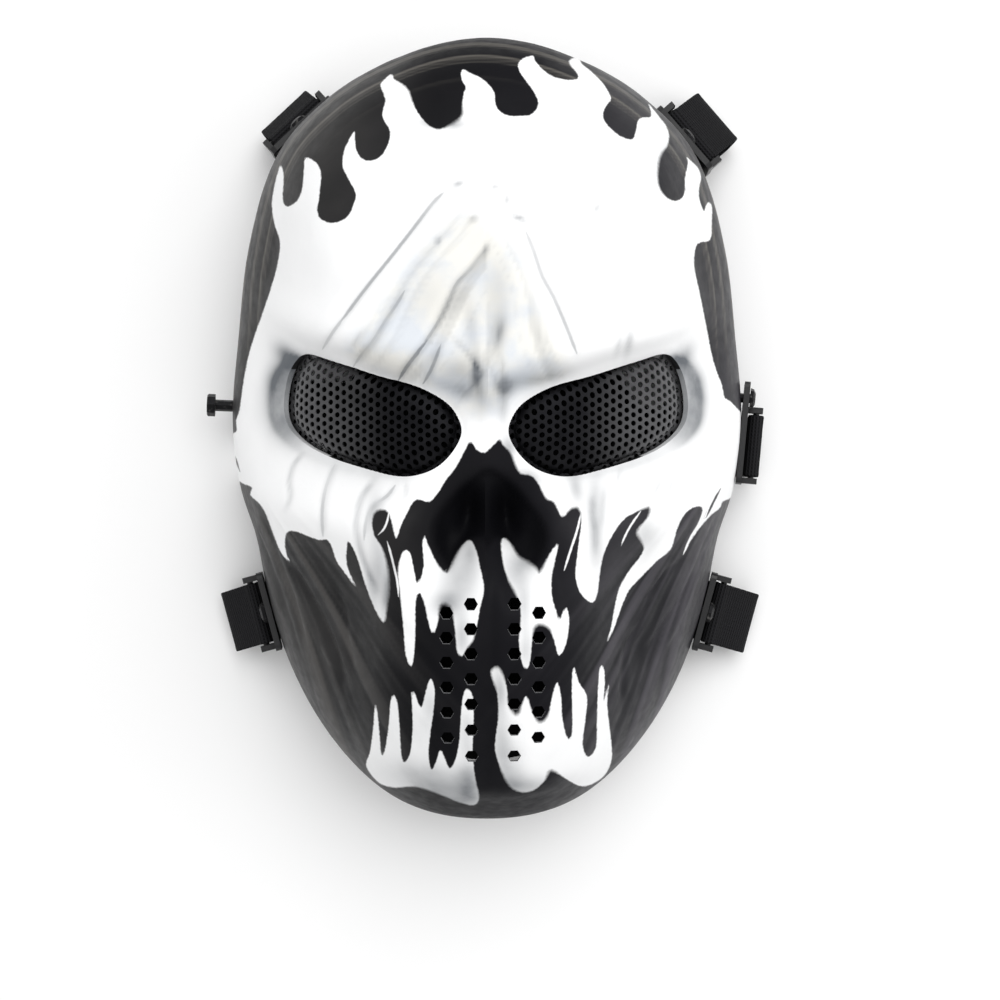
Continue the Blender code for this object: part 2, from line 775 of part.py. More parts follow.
def pierce(target, radius, frame, cutters):
    """A round hole along a frame's Y axis."""
    name = f"{target.name}_hole_{len(target.modifiers)}"
    hole = cylinder(name, radius + GAP, (0, -4 * WALL, 0), (0, 4 * WALL, 0), frame, cutters)
    boolean(target, hole, "DIFFERENCE")


def screw_frame(row, frame):
    """A bracket's frame, moved to its screw."""
    return frame @ Matrix.Translation(screw_spot(row))


def make_screw(row, bracket, frame, tree, group, cutters, material):
    """A round-headed screw through a bracket and the wall, with its nut inside."""
    spot = screw_frame(row, frame)
    face = PLATE_THICKNESS + GAP
    back = wall_reach(tree, spot, NUT_RADIUS, -NUT_RADIUS, NUT_RADIUS, False) - GAP
    profile = [
        (face + SCREW_HEAD_THICKNESS * height, SCREW_HEAD_RADIUS * radius)
        for height, radius in SCREW_HEAD_ROUND
    ]
    profile += [
        (face, SCREW_HEAD_RADIUS),
        (face, SHANK_RADIUS),
        (back, SHANK_RADIUS),
        (back, NUT_RADIUS),
        (back - NUT_THICKNESS, NUT_RADIUS),
    ]
    pierce(bracket, SHANK_RADIUS, spot, cutters)
    name = row[0].replace("bracket", "screw")
    return turned(name, profile, spot, group, material)


def stud_frame():
    return wall_frame(STUD_DEGREES, STUD_SIDE, STUD_HEIGHT)


def make_stud(strap, tree, group, cutters, material):
    """The bare stud: a thick round head on a shank, with the nut that holds a strap's end."""
    frame = stud_frame()
    back = strap_end_reach(tree) - STRAP_THICKNESS - GAP
    face = STUD_REACH - STUD_HEAD_THICKNESS
    profile = [
        (face + STUD_HEAD_THICKNESS * height, STUD_HEAD_RADIUS * radius)
        for height, radius in STUD_HEAD_ROUND
    ]
    profile += [
        (face, STUD_HEAD_RADIUS),
        (face, STUD_SHANK_RADIUS),
        (back, STUD_SHANK_RADIUS),
        (back, NUT_RADIUS),
        (back - NUT_THICKNESS, NUT_RADIUS),
    ]
    pierce(strap, STUD_SHANK_RADIUS, frame, cutters)
    return turned("middle_left_stud", profile, frame, group, material)


# Straps


def strap_end_reach(tree):
    """Where the outer face of the strap's flat end lies on the stud's axis."""
    low, high = -STUD_HEIGHT + STRAP_ARCH + WALL, STUD_HEAD_RADIUS * STRAP_END
    return wall_reach(tree, stud_frame(), STRAP_WIDTH / 2, low, high, False) - 2 * GAP


def bracket_path(row, frame):
    """A strap's line at a bracket, from its tail to the floor inside the rim, and its width."""
    _, side, degrees, _, bulge = row
    bar = frame @ Vector((0, bar_offset(), BAR_HEIGHT))
    turn = frame.to_3x3()
    along, out, up = turn.col[0], turn.col[1], turn.col[2]
    level = Vector((out.x, out.y, 0)).normalized()
    rim = Vector((*rim_point(degrees, side), 0))
    wrap = BAR_RADIUS + GAP + STRAP_THICKNESS / 2
    inner = bar - out * wrap
    drop = (inner.z - STRAP_TAIL_HEIGHT) / up.z
    points = [inner - up * drop, inner - up * drop / 2]
    for degrees_round in (180, 135, 90, 45, 0):
        a = math.radians(degrees_round)
        points.append(bar + out * wrap * math.cos(a) + up * wrap * math.sin(a))
    rest = STRAP_THICKNESS / 2
    reach = max(bulge, (points[-1] - rim).dot(level) + STRAP_THICKNESS / 2) - rest
    points.append(rim + level * reach + Vector((0, 0, bar.z * STRAP_LOOP_MIDDLE)))
    for back, height in STRAP_LOOP:
        points.append(rim + level * (reach - back) + Vector((0, 0, rest + height)))
    for back in STRAP_INSIDE_RIM:
        points.append(rim - level * back + Vector((0, 0, rest)))
    return points, along, level


def crossing(start, start_level, end, end_level, fold):
    """A strap's line over the floor between its ends, with a slack fold in the middle."""
    pull = (end - start).length * CROSSING_PULL
    controls = (start, start - start_level * pull, end - end_level * pull, end)
    points = []
    for i in range(1, CROSSING_POINTS):
        t = i / CROSSING_POINTS
        weights = ((1 - t) ** 3, 3 * t * (1 - t) ** 2, 3 * t * t * (1 - t), t**3)
        point = sum((c * w for c, w in zip(controls, weights)), Vector())
        rise = math.sin(math.pi * smooth((t - FOLD_FROM) / FOLD_SPAN))
        point.z = start.z + fold * rise**2
        points.append(point)
    return points


def stud_end_path(tree):
    """The middle strap's left end: up the inside of the wall to the stud."""
    frame = stud_frame()
    turn = frame.to_3x3()
    out, up = turn.col[1], turn.col[2]
    level = Vector((out.x, out.y, 0)).normalized()
    head = frame @ Vector((0, strap_end_reach(tree) - STRAP_THICKNESS / 2, 0))
    rest = STRAP_THICKNESS / 2
    foot = head - up * ((head.z - rest) / up.z)
    points = [foot - level * back + Vector((0, 0, height)) for back, height in STRAP_UP_WALL]
    points += [foot + up * STRAP_WALL_RISE, head, head + up * STUD_HEAD_RADIUS * STRAP_END]
    return points, turn.col[0], level


def make_strap(row, frames, tree, group, material):
    """A flat band laid along its line, level across the floor and square to it."""
    name, right, left, fold = row
    rows = {bracket[0]: bracket for bracket in BRACKETS}
    first, first_along, first_level = bracket_path(rows[right], frames[right])
    if left:
        last, last_along, last_level = bracket_path(rows[left], frames[left])
        last = last[::-1]
    else:
        last, last_along, last_level = stud_end_path(tree)
    middle = crossing(first[-1], first_level, last[0], last_level, fold)
    line = first + middle + last
    start, end = (first[-1], first_level, first_along), (last[0], last_level, last_along)
    acrosses = [strap_across(line, i, start, end) for i in range(len(line))]
    data = bmesh.new()
    bmesh.ops.create_grid(data, x_segments=len(line) - 1, y_segments=1, size=1.0)
    for vertex in data.verts:
        i = round((vertex.co.x + 1) / 2 * (len(line) - 1))
        vertex.co = line[i] + acrosses[i] * vertex.co.y * STRAP_WIDTH / 2
    strap = object_from(name, data, group, material)
    solidify = strap.modifiers.new("webbing", "SOLIDIFY")
    solidify.thickness = STRAP_THICKNESS
    solidify.offset = 0
    return strap


def strap_across(line, i, start, end):
    """The strap's width direction at a point: the bracket's near its ends, else level."""
    ahead = line[min(i + 1, len(line) - 1)] - line[max(i - 1, 0)]
    for place, level, along in (start, end):
        if (line[i] - place).dot(level) > -1e-6:
            across = along
            break
    else:
        across = Vector((-ahead.y, ahead.x, 0))
    across = (across - ahead * across.dot(ahead) / ahead.length_squared).normalized()
    return -across if across.y < 0 else across


def main():
    for old in list(bpy.data.objects):
        bpy.data.objects.remove(old)
    group = collection_named("skull_mask")
    cutters = collection_named("cutters")
    finish = {name: material_named(name) for name in COLOURS}
    tree = make_wall_tree(cutters)
    frames = {row[0]: bracket_frame(row, tree) for row in BRACKETS}
    make_shell(frames, group, cutters, finish["shell"])
    for name, side in (("eye_screen_left", -1), ("eye_screen_right", 1)):
        make_screen(name, side, tree, group, cutters, finish["screen"])
    for row in BRACKETS:
        frame = frames[row[0]]
        bracket = make_bracket(row, frame, group, cutters, finish["plastic"])
        make_screw(row, bracket, frame, tree, group, cutters, finish["metal"])
    for row in STRAPS:
        strap = make_strap(row, frames, tree, group, finish["webbing"])
        if row[2] is None:
            make_stud(strap, tree, group, cutters, finish["metal"])


main()
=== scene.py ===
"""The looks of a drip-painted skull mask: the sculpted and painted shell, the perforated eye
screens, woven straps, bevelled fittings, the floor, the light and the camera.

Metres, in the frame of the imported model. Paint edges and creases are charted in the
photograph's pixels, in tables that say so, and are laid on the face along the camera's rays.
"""

import math

import bmesh
import bpy
import numpy as np
from mathutils import Matrix, Vector, noise


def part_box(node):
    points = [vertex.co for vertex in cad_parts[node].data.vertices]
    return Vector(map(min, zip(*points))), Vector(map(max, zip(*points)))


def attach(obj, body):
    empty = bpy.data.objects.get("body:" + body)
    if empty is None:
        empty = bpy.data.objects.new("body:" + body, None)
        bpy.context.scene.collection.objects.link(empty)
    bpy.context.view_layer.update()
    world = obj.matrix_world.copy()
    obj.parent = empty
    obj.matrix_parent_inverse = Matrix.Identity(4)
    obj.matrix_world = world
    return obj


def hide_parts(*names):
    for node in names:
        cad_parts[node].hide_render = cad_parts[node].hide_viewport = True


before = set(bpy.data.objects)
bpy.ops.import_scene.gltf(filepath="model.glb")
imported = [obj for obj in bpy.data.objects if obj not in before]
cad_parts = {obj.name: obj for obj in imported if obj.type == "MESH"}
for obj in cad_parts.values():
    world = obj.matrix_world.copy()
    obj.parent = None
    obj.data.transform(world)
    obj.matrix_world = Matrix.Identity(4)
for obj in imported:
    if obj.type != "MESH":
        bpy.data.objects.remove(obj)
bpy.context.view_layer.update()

# The camera looks straight down at the face from the photograph's distance
CAMERA = (0.005, -0.026, 0.620)
FOCAL_PIXELS = 1551
PHOTO_PIXELS = 1000
SENSOR_MM = 36

# The shell's form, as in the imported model
SHELL_LOW, SHELL_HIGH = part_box("shell")
WIDEST = 1.0010
HALF_WIDTH = (SHELL_HIGH[0] - SHELL_LOW[0]) / 2 / WIDEST
HALF_HEIGHT = (SHELL_HIGH[1] - SHELL_LOW[1]) / 2
FRONT_DEPTH = 0.1085
WALL = 0.0026
CHIN_LIFT = 0.034
RELIEF = 0.0100
ROUND_UP = 3.2
ROUND_CROWN = 11.0
ROUND_ACROSS = 2.05
ROUND_EDGE = 2.2
RIM_TRIM = 0.0008
GRID_EVENNESS = 0.4
# Places as shares of the way from the face's middle to its rim
NEAREST_RIM = 0.9990
LEVEL_FROM = 0.9995
TRIMMED_FROM = 0.9999
RELIEF_END, RELIEF_FADE = 0.97, 0.13
CARVING_END, CARVING_FADE = 0.985, 0.05
SLOPE_STEP = 2e-5
WALL_SEARCH = (0.98, 1.02)
WALL_SEARCH_TURNS = 12
WALL_SEARCH_STEP = 0.25
EYE_EDGE = 0.12
# Painted shade round the eye sockets: its reach and strength
SOCKET_SHADE_REACH = 0.0042
SOCKET_SHADE_STRENGTH = 0.55
LINE_KEPT, LINE_GONE, LINE_OFF = 4.5, 6.5, -3.0
LINE_TONE = 3.0
# Creases with this much painted shade and grey get a crisp line, and keep this share of it round
# the line
LINE_SHADE_AND_GREY = 0.4
LINE_UNDERTONE = 0.6
PLAIN_BLUR = 0.8
BARE_TILT, INNER_TILT, VENT_WALL_TILT = 0.60, -0.2, 0.3
BARE_END = 0.99
# Depth at which the painted shade in the nose cavity is darkest
NOSE_SHADE_DEPTH = 0.005
OUTER_CELLS = (236, 290)
INNER_CELLS = (118, 145)

EYE_X = 0.0429
EYE_Y = 0.0031
EYE_HALF_WIDTH = 0.0346
EYE_HALF_HEIGHT = 0.0210
SOCKET_DEPTH = 0.0062
SOCKET_SPREAD = 0.68
ROLL_DEPTH, ROLL_REACH = 0.0007, 0.0018
VENT_ACROSS_CORNERS = 0.0047
VENT_PITCH = 0.0082
VENT_SPREAD = 0.0000155
VENT_MIDDLE = 0.0026
VENT_MARGIN = 0.6
VENT_COLUMNS = (
    # distance from the vents' middle, height of the top vent, number of vents
    (0.0072, -0.0603, 7),
    (0.0153, -0.0633, 6),
)

STRAP_WIDTH = 0.0240
STRAP_THICKNESS = 0.0016
STRAP_TAIL_HEIGHT = 0.0034
STRAP_ARCH = 0.0034
STRAP_ARCH_MARGIN = 0.0020
STRAP_LOOP = (
    # back from the slack loop's reach, height over the floor's line
    (0.0012, 0.0020),
    (0.0048, 0.0000),
)
STRAP_LOOP_MIDDLE = 0.55
STRAP_INSIDE_RIM = (0.004, 0.016)
STRAP_UP_WALL = (
    # inside the wall's foot, height over the floor's line
    (0.0160, 0.0000),
    (0.0060, 0.0000),
    (0.0012, 0.0020),
)
STRAP_WALL_RISE = 0.0060
STRAP_END = 1.6
STRAP_STEP = 0.0010
STRAP_OVER_FLOOR = 0.00005
STRAP_RIB, STRAP_THREAD = 0.0011, 0.0013
STRAP_PROFILE = (
    # shares of half the width and half the thickness, from the edge to the middle
    (-1.000, 0.55),
    (-0.985, 0.85),
    (-0.950, 1.00),
    (-0.900, 1.00),
    (-0.800, 0.90),
    (-0.600, 0.90),
    (-0.300, 0.90),
    (0.000, 0.90),
)
CROSSING_POINTS = 13
CROSSING_PULL = 0.34
FOLD_FROM = 0.15
FOLD_SPAN = 0.70
GAP = 0.0003
PLATE_THICKNESS = 0.0022
PLATE_LENGTH = 0.0200
PLATE_FOOT = 0.0065
BAR_RADIUS = 0.0012
BAR_HEIGHT = 0.0052
STUD_HEAD_RADIUS = 0.0043
STUD_HEIGHT = 0.0170
STUD_SIDE, STUD_DEGREES = -1, 85.9
SCREW_HOLE, STUD_HOLE = 0.0021, 0.0025
PLATE_BEVEL, SCREW_BEVEL = 0.0003, 0.00025

OUTLINE = (
    # degrees from the crown, reach, lift
    (0, 1.000, 0.00),
    (20, 1.012, 0.00),
    (35, 1.050, 0.00),
    (48, 1.083, 0.00),
    (62, 1.052, 0.00),
    (75, 1.012, 0.00),
    (90, 1.002, 0.00),
    (99, 0.982, 0.00),
    (107, 0.952, 0.00),
    (116, 0.964, 0.00),
    (127, 0.989, 0.00),
    (143, 1.012, 0.22),
    (158, 1.016, 0.70),
    (180, 1.000, 1.00),
)

FRONT = (
    # height as a share of the half height, depth
    (-1.00, 0.95),
    (-0.80, 0.98),
    (-0.50, 1.00),
    (0.10, 1.00),
    (0.40, 0.985),
    (0.70, 0.945),
    (1.00, 0.88),
)

FORMS = (
    # across, along, spread along, spread across, degrees, height, sharpness
    (0.44, 0.185, 0.36, 0.085, 15, 0.55, 2),  # brow
    (0.00, 0.06, 0.10, 0.20, 0, 0.22, 2),  # root of the nose
    (0.00, 0.36, 0.24, 0.34, 0, 0.16, 2),  # frown
    (0.80, 0.42, 0.18, 0.27, 0, -0.40, 2),  # temple
    (0.60, -0.215, 0.30, 0.10, 14, 0.42, 2),  # cheekbone
    (0.54, -0.46, 0.17, 0.28, -12, -0.70, 2),  # hollow of the cheek
    (0.00, -0.61, 0.36, 0.47, 0, 0.45, 4),  # muzzle
    (0.00, -0.87, 0.24, 0.12, 0, 0.20, 2),  # chin
    (0.094, -0.262, 0.110, 0.175, 22, -1.45, 2),  # nose cavity
)

EYE_OUTLINE = (
    # across, along
    (0.65, 1.00),
    (0.30, 0.81),
    (-0.14, 0.56),
    (-0.57, 0.36),
    (-0.87, 0.10),
    (-1.00, -0.24),
    (-0.91, -0.59),
    (-0.70, -0.88),
    (-0.41, -1.00),
    (-0.03, -0.93),
    (0.36, -0.75),
    (0.70, -0.50),
    (0.93, -0.17),
    (1.00, 0.20),
    (0.96, 0.66),
    (0.84, 0.93),
)

BRACKETS = (
    # name, side, degrees from the crown, bulge of the strap's loop
    ("upper_left_bracket", -1, 41.5, 0.0145),
    ("upper_right_bracket", 1, 44.5, 0.0205),
    ("middle_right_bracket", 1, 91.8, 0.0082),
    ("lower_left_bracket", -1, 119.5, 0.0185),
    ("lower_right_bracket", 1, 119.5, 0.0205),
)

STRAPS = (
    # name, right bracket, left bracket, fold height
    ("upper_strap", "upper_right_bracket", "upper_left_bracket", 0.010),
    ("middle_strap", "middle_right_bracket", None, 0.012),
    ("lower_strap", "lower_right_bracket", "lower_left_bracket", 0.010),
)

# The black paint over the crown: its lower edge from left to right, in photograph pixels, and
# then round the outside
CROWN_PAINT = (
    (229, 436), (236, 420), (240, 408), (243, 385), (250, 350), (262, 315), (272, 285),
    (278, 262), (280, 242), (274, 222), (272, 202), (275, 184), (278, 172), (280.5, 165),
    (283, 171), (283.5, 182), (282.5, 196), (284, 204), (288, 206.5), (295, 203), (300, 196),
    (303, 184), (304, 170), (305, 158), (311, 159), (318, 165), (321, 175), (320, 188),
    (318.5, 202), (317, 209), (319, 217), (325, 221.5), (332, 223), (341, 221), (349, 215),
    (353.5, 205), (356, 195), (353, 187), (348, 178), (343.5, 169), (342.5, 161), (344.5, 150),
    (349, 140), (354, 131), (355, 139), (356, 149), (360, 157), (366, 160.5), (373, 160.5),
    (380, 157), (386, 149), (390, 138), (389.5, 129), (385, 122), (382.5, 115), (383.5, 108),
    (385.5, 101), (383.5, 93), (380.5, 85), (385, 79), (392, 74), (394, 79), (404, 85.5),
    (409, 92), (412, 101), (418, 113), (427, 124), (436, 129), (444, 128), (451, 124.5),
    (459, 120), (463, 113), (462.5, 103), (464, 93), (466, 87), (462, 80), (461, 73),
    (463.5, 69.5), (471, 73.5), (481, 78), (489, 85), (494, 92), (495, 101), (497, 108),
    (503, 113.5), (511, 116), (521, 116), (530, 115), (536, 110), (538.5, 102), (534, 92),
    (527, 82), (520.5, 73), (518, 65), (521, 60), (527, 57), (533, 56), (535, 60.5),
    (542, 69), (551, 75.5), (561, 79), (571, 80), (578, 78.5), (577, 73), (572, 67),
    (569, 61.5), (574, 58), (579.5, 59.5), (582, 64), (590, 70.5), (599, 79), (606, 88),
    (611, 98.5), (606.5, 105), (603, 113), (604.5, 121), (611, 129), (620, 136), (629, 139.5),
    (633.5, 138.5), (636, 131), (638, 121), (643, 117.5), (650.5, 117), (651, 111), (648.5, 104),
    (653, 109), (660, 118), (666, 126), (669, 136), (667, 146), (661, 154), (658, 165),
    (657.5, 178), (660, 189), (666, 197), (674, 201), (681, 199), (685, 191), (685, 179),
    (687, 168), (688, 161.5), (686.5, 157), (691, 161), (698, 168), (701, 177), (699, 188),
    (699, 197), (701, 205), (704, 211.5), (706, 206), (709, 202), (712, 208), (711.5, 222),
    (710, 240), (697, 244), (694, 265), (699, 290), (706, 325), (713, 360), (722, 385),
    (731, 402), (790, 404), (790, -60), (150, -60), (150, 438),
)

# The black paint over the jaw: its upper edge from left to right, and then round below
JAW_PAINT = (
    (244, 484), (250, 495), (258, 502), (265, 512), (270, 525), (276, 541), (282, 554),
    (291, 563), (287, 556), (285, 546), (285.5, 536), (289, 531), (298, 532), (310, 537),
    (320, 540), (327, 539.5), (332, 547), (336, 560), (345, 573), (356, 587), (350, 574),
    (346.5, 563), (346.5, 551), (348, 541), (354, 550), (359, 563), (364, 580), (370, 597),
    (376, 611), (384, 622.5), (386.5, 607), (388.5, 590), (388, 572), (383.5, 552), (378, 541.5),
    (374, 535), (372, 523), (374, 513), (380, 509.5), (387, 511), (391, 519), (396, 538.5),
    (401, 525), (407, 513), (413, 502), (419, 499), (429, 502), (437, 494), (446, 480),
    (456, 467), (464, 452), (470.5, 441), (476, 449), (484, 453), (492, 446.5), (500, 439),
    (503, 445), (511, 453), (516, 466), (521, 473.5), (531, 475.5), (538, 483), (546, 498),
    (554, 502), (558.5, 511), (563, 517.5), (569, 510), (575, 507), (580, 510), (581.5, 522),
    (579, 542), (576.5, 562), (575.5, 577), (580, 592), (588, 601), (594, 602), (598, 590),
    (600, 572), (604, 553), (613, 534), (624, 519), (634, 513), (642, 509), (650, 507),
    (648, 517), (637, 531), (641, 540), (644, 548), (640, 557), (629, 571), (619, 589),
    (614, 611), (611, 628), (607, 642), (614, 628), (621, 608), (629, 590), (642, 576),
    (658, 560), (671, 549), (676, 532), (682, 518), (691, 508.5), (702, 507), (700, 520),
    (690, 541), (698, 530), (710, 516), (720, 508), (729, 499), (790, 497), (790, 900),
    (150, 900), (150, 482),
)

# White paint inside the jaw's black, each a closed edge
WHITE_PAINT = (
    (
        (401, 556), (405, 550), (410, 553), (413, 566), (417, 583.5), (421.5, 577), (424, 563),
        (422.5, 545), (423.5, 534), (429, 547), (436, 562), (443, 571), (448, 572.5), (454, 560),
        (462, 546), (470, 540), (476, 550), (480, 567), (484, 588), (481, 603), (477, 624),
        (473, 640), (467, 648), (461, 657), (457, 650), (455.5, 635), (452, 610), (445, 603),
        (439, 607), (438, 622), (433, 634), (428.5, 622), (424.5, 603), (419, 592.5),
        (415.5, 602), (415, 640), (413, 661), (410, 666.5), (405.5, 653), (404, 634),
        (400, 592), (398, 572),
    ),
    (
        (501, 543), (504, 538), (510, 543), (518, 556), (528, 562), (536, 568), (540, 573),
        (546, 561), (553, 549), (558.5, 543), (556, 556), (551.5, 577), (552, 597), (556, 611),
        (559, 621.5), (563, 612), (566.5, 607), (569, 622), (566, 644), (559, 656), (555, 643),
        (550, 629), (541, 624), (534, 627), (532, 641), (530, 661), (526, 670), (521.5, 660),
        (519, 640), (521, 615), (517, 596), (508, 579), (503, 562),
    ),
    (
        (366, 764), (370, 752), (373, 731), (374.5, 711), (375.7, 704), (378, 718), (380, 742),
        (381.5, 755), (385, 750), (388.5, 728), (390.5, 703), (393.5, 695), (397.5, 704),
        (399.5, 727), (401, 752), (404, 762.5), (410, 754), (412.5, 733), (412.5, 712),
        (411.5, 692), (415, 694), (420.5, 708), (424, 700), (427, 687), (431, 678.5),
        (434.5, 690), (433.5, 710), (430, 735), (428.5, 756), (431.5, 770), (436, 762),
        (440.5, 749.5), (444.5, 758), (450, 768.5), (456, 758), (459.5, 740), (461, 716),
        (463, 697), (467, 688), (473, 698), (473.5, 722), (472.5, 750), (475, 778), (479, 797),
        (474, 805), (459, 802), (437, 793), (415, 786.5), (395, 787.5), (380, 783.5), (370, 773),
    ),
    (
        (491, 673), (497, 667), (503, 675), (507, 690), (508, 704), (514, 714), (519, 714),
        (523, 702), (527, 695.5), (531, 709), (539, 723), (548, 716), (552, 698), (557, 682),
        (561, 696), (562, 716), (566, 735), (570.5, 739), (572.5, 725), (572, 690), (573.3, 666),
        (579, 683), (587, 696.5), (585, 722), (582.5, 745), (588, 757), (596, 747), (597, 722),
        (598, 690), (600, 667), (604, 669), (604.5, 686), (603.5, 702), (609, 684), (607, 704),
        (611, 740), (611.5, 760), (603, 777), (584, 786.5), (568, 780), (551, 769.5), (545, 780),
        (534, 790), (521, 792), (509, 785), (499, 764), (495, 746), (498.5, 716), (497, 692),
    ),
)

# Thin lines where white shows through the black, or black on the white
PAINT_LINES = (
    # colour, width in pixels, points
    ("white", 2.0, ((389, 511), (387.5, 520), (384, 529), (378, 535))),
    ("white", 2.0, ((387, 541), (390, 551), (394, 567), (397.5, 583), (398.5, 597))),
    ("white", 2.0, ((581, 513), (577, 531), (571, 549), (564, 571))),
    ("white", 1.9, ((641, 511), (633, 522), (626, 534), (621, 546))),
    ("white", 2.2, ((703, 512), (699, 524), (691, 537), (683, 555))),
    ("black", 2.2, ((721, 488), (716, 497), (711, 507), (706, 518))),
    ("black", 1.8, ((232, 450), (236, 460), (240, 472))),
)

# Carved lines, with painted shade along them: depths in millimetres, below the surface if
# negative
CREASES = (
    # depth, half width in pixels, painted shade and grey left in it, points in photograph pixels
    (-1.0, 3.2, 0.55, ((444, 192), (432, 204), (413, 229), (391, 257), (366, 288), (342, 320))),
    (-0.8, 3.2, 0.40, ((345, 316), (333, 332), (322, 350))),
    (0.5, 5.0, 0.00, ((438, 178), (405, 213), (374, 250), (344, 288), (322, 316))),
    (-0.8, 3.2, 0.45, ((405, 290), (396, 305), (385, 321), (372, 342), (362, 354), (353, 367))),
    (-0.5, 3.0, 0.30, ((366, 329), (357, 339), (350, 352))),
    (-0.9, 3.4, 0.50, ((487, 248), (472, 268), (457, 283), (449, 300), (437, 324), (420, 350))),
    (-1.1, 4.0, 0.75, ((426, 342), (415, 356), (406, 368), (398, 381))),
    (-0.9, 3.6, 0.70, ((441, 344), (437, 355), (431, 370), (423, 384))),
    (0.6, 3.4, 0.00, ((456, 292), (446, 318), (432, 346), (416, 366))),
    (-0.6, 3.2, 0.45, ((526, 232), (534, 252), (542, 276), (553, 296), (566, 326), (577, 354))),
    (-0.5, 3.0, 0.25, ((450, 336), (465, 350), (478, 368), (486, 384))),
    (-0.4, 3.0, 0.25, ((503, 320), (499, 334), (497, 348))),
    (0.7, 2.6, 0.00, ((489, 340), (489, 372), (488, 404))),
    (-0.6, 3.0, 0.18, ((478, 345), (474, 372), (470, 398))),
    (-0.6, 3.0, 0.16, ((500, 350), (503, 374), (508, 394))),
    (-0.7, 2.6, 0.34, ((303, 453), (293, 466), (289, 480), (290, 497), (285, 511))),
    (-0.7, 3.4, 0.40, ((336, 462), (329, 478), (324, 495), (322, 515), (323, 537))),
    (-0.7, 3.2, 0.38, ((374, 480), (362, 496), (357, 513), (356, 532), (364, 562), (376, 590))),
    (-0.6, 3.4, 0.40, ((396, 484), (387, 496), (372, 507), (366, 522), (364, 540))),
    (-0.4, 2.4, 0.20, ((404, 480), (406, 492), (402, 502))),
    (-0.4, 2.2, 0.24, ((620, 470), (617, 486))),
    (-0.4, 2.2, 0.22, ((645, 470), (638, 484))),
    (-0.4, 2.2, 0.26, ((662, 476), (657, 488), (651, 497))),
    (-0.4, 2.2, 0.26, ((674, 474), (671, 486), (667, 498))),
    (-0.6, 4.5, 0.34, ((594, 488), (592, 510), (595, 535), (596, 562))),
    (-0.5, 3.6, 0.24, ((606, 482), (603, 505), (602, 530))),
    (-1.1, 3.6, 0.00, ((286, 560), (300, 580), (318, 612), (332, 645), (345, 690))),
    (-0.9, 3.2, 0.00, ((336, 590), (343, 612), (347, 640), (355, 668))),
    (0.8, 3.6, 0.00, ((322, 644), (332, 660), (340, 672))),
    (-0.9, 2.8, 0.00, ((262, 505), (268, 530), (278, 560), (292, 595), (305, 640))),
    (0.7, 3.2, 0.00, ((256, 520), (262, 548), (270, 580), (281, 615))),
    (-1.0, 3.0, 0.00, ((681, 560), (668, 572), (655, 590), (645, 604))),
    (-0.9, 3.4, 0.00, ((706, 545), (694, 575), (678, 605), (660, 632), (650, 655))),
    (0.7, 3.2, 0.00, ((700, 560), (690, 592), (676, 622), (664, 648))),
    (-0.8, 3.4, 0.00, ((640, 622), (630, 645), (624, 672), (622, 705))),
    (-1.6, 9.0, 0.00, ((489, 545), (489, 600), (489, 680), (488, 760), (487, 800))),
)

# Soft dents and swells in millimetres
DENTS = (
    # across, down, half width, half height in pixels, height
    (463, 322, 13, 20, -0.9),
    (487, 330, 10, 22, -0.8),
    (452, 378, 22, 10, -0.9),
    (534, 372, 26, 9, -0.8),
    (500, 255, 20, 36, 0.6),
    (430, 262, 20, 30, 0.6),
    (640, 650, 16, 15, -1.6),
    (648, 300, 40, 60, 0.4),
    (345, 255, 40, 50, 0.4),
    (418, 560, 8, 40, -1.0),
    (560, 580, 8, 40, -0.9),
    (458, 640, 30, 90, 0.7),
    (520, 640, 30, 90, 0.7),
)

# Where the jaw's strands fan out from: across, down, side
FIBRE_ROOTS = ((222, 430, 1), (748, 430, -1))
FOLDS_MIDDLE = (487, 380)

# The nose cavity's edge, and the two pits in it
NOSE_EDGE = (
    (486, 468), (470, 480), (452, 497), (436, 518), (433, 540), (441, 560), (449, 570),
    (458, 553), (468, 540), (478, 538), (488, 548), (498, 538), (508, 543), (520, 558),
    (536, 566), (547, 550), (548, 530), (536, 510), (518, 490), (500, 474),
)
NOSE_PITS = (
    # across, down, half width, half height in pixels, depth in millimetres
    (468, 511, 13, 24, -6.0),
    (507, 511, 13, 24, -6.0),
    (444, 540, 9, 18, -2.0),
    (535, 538, 10, 16, -2.0),
)
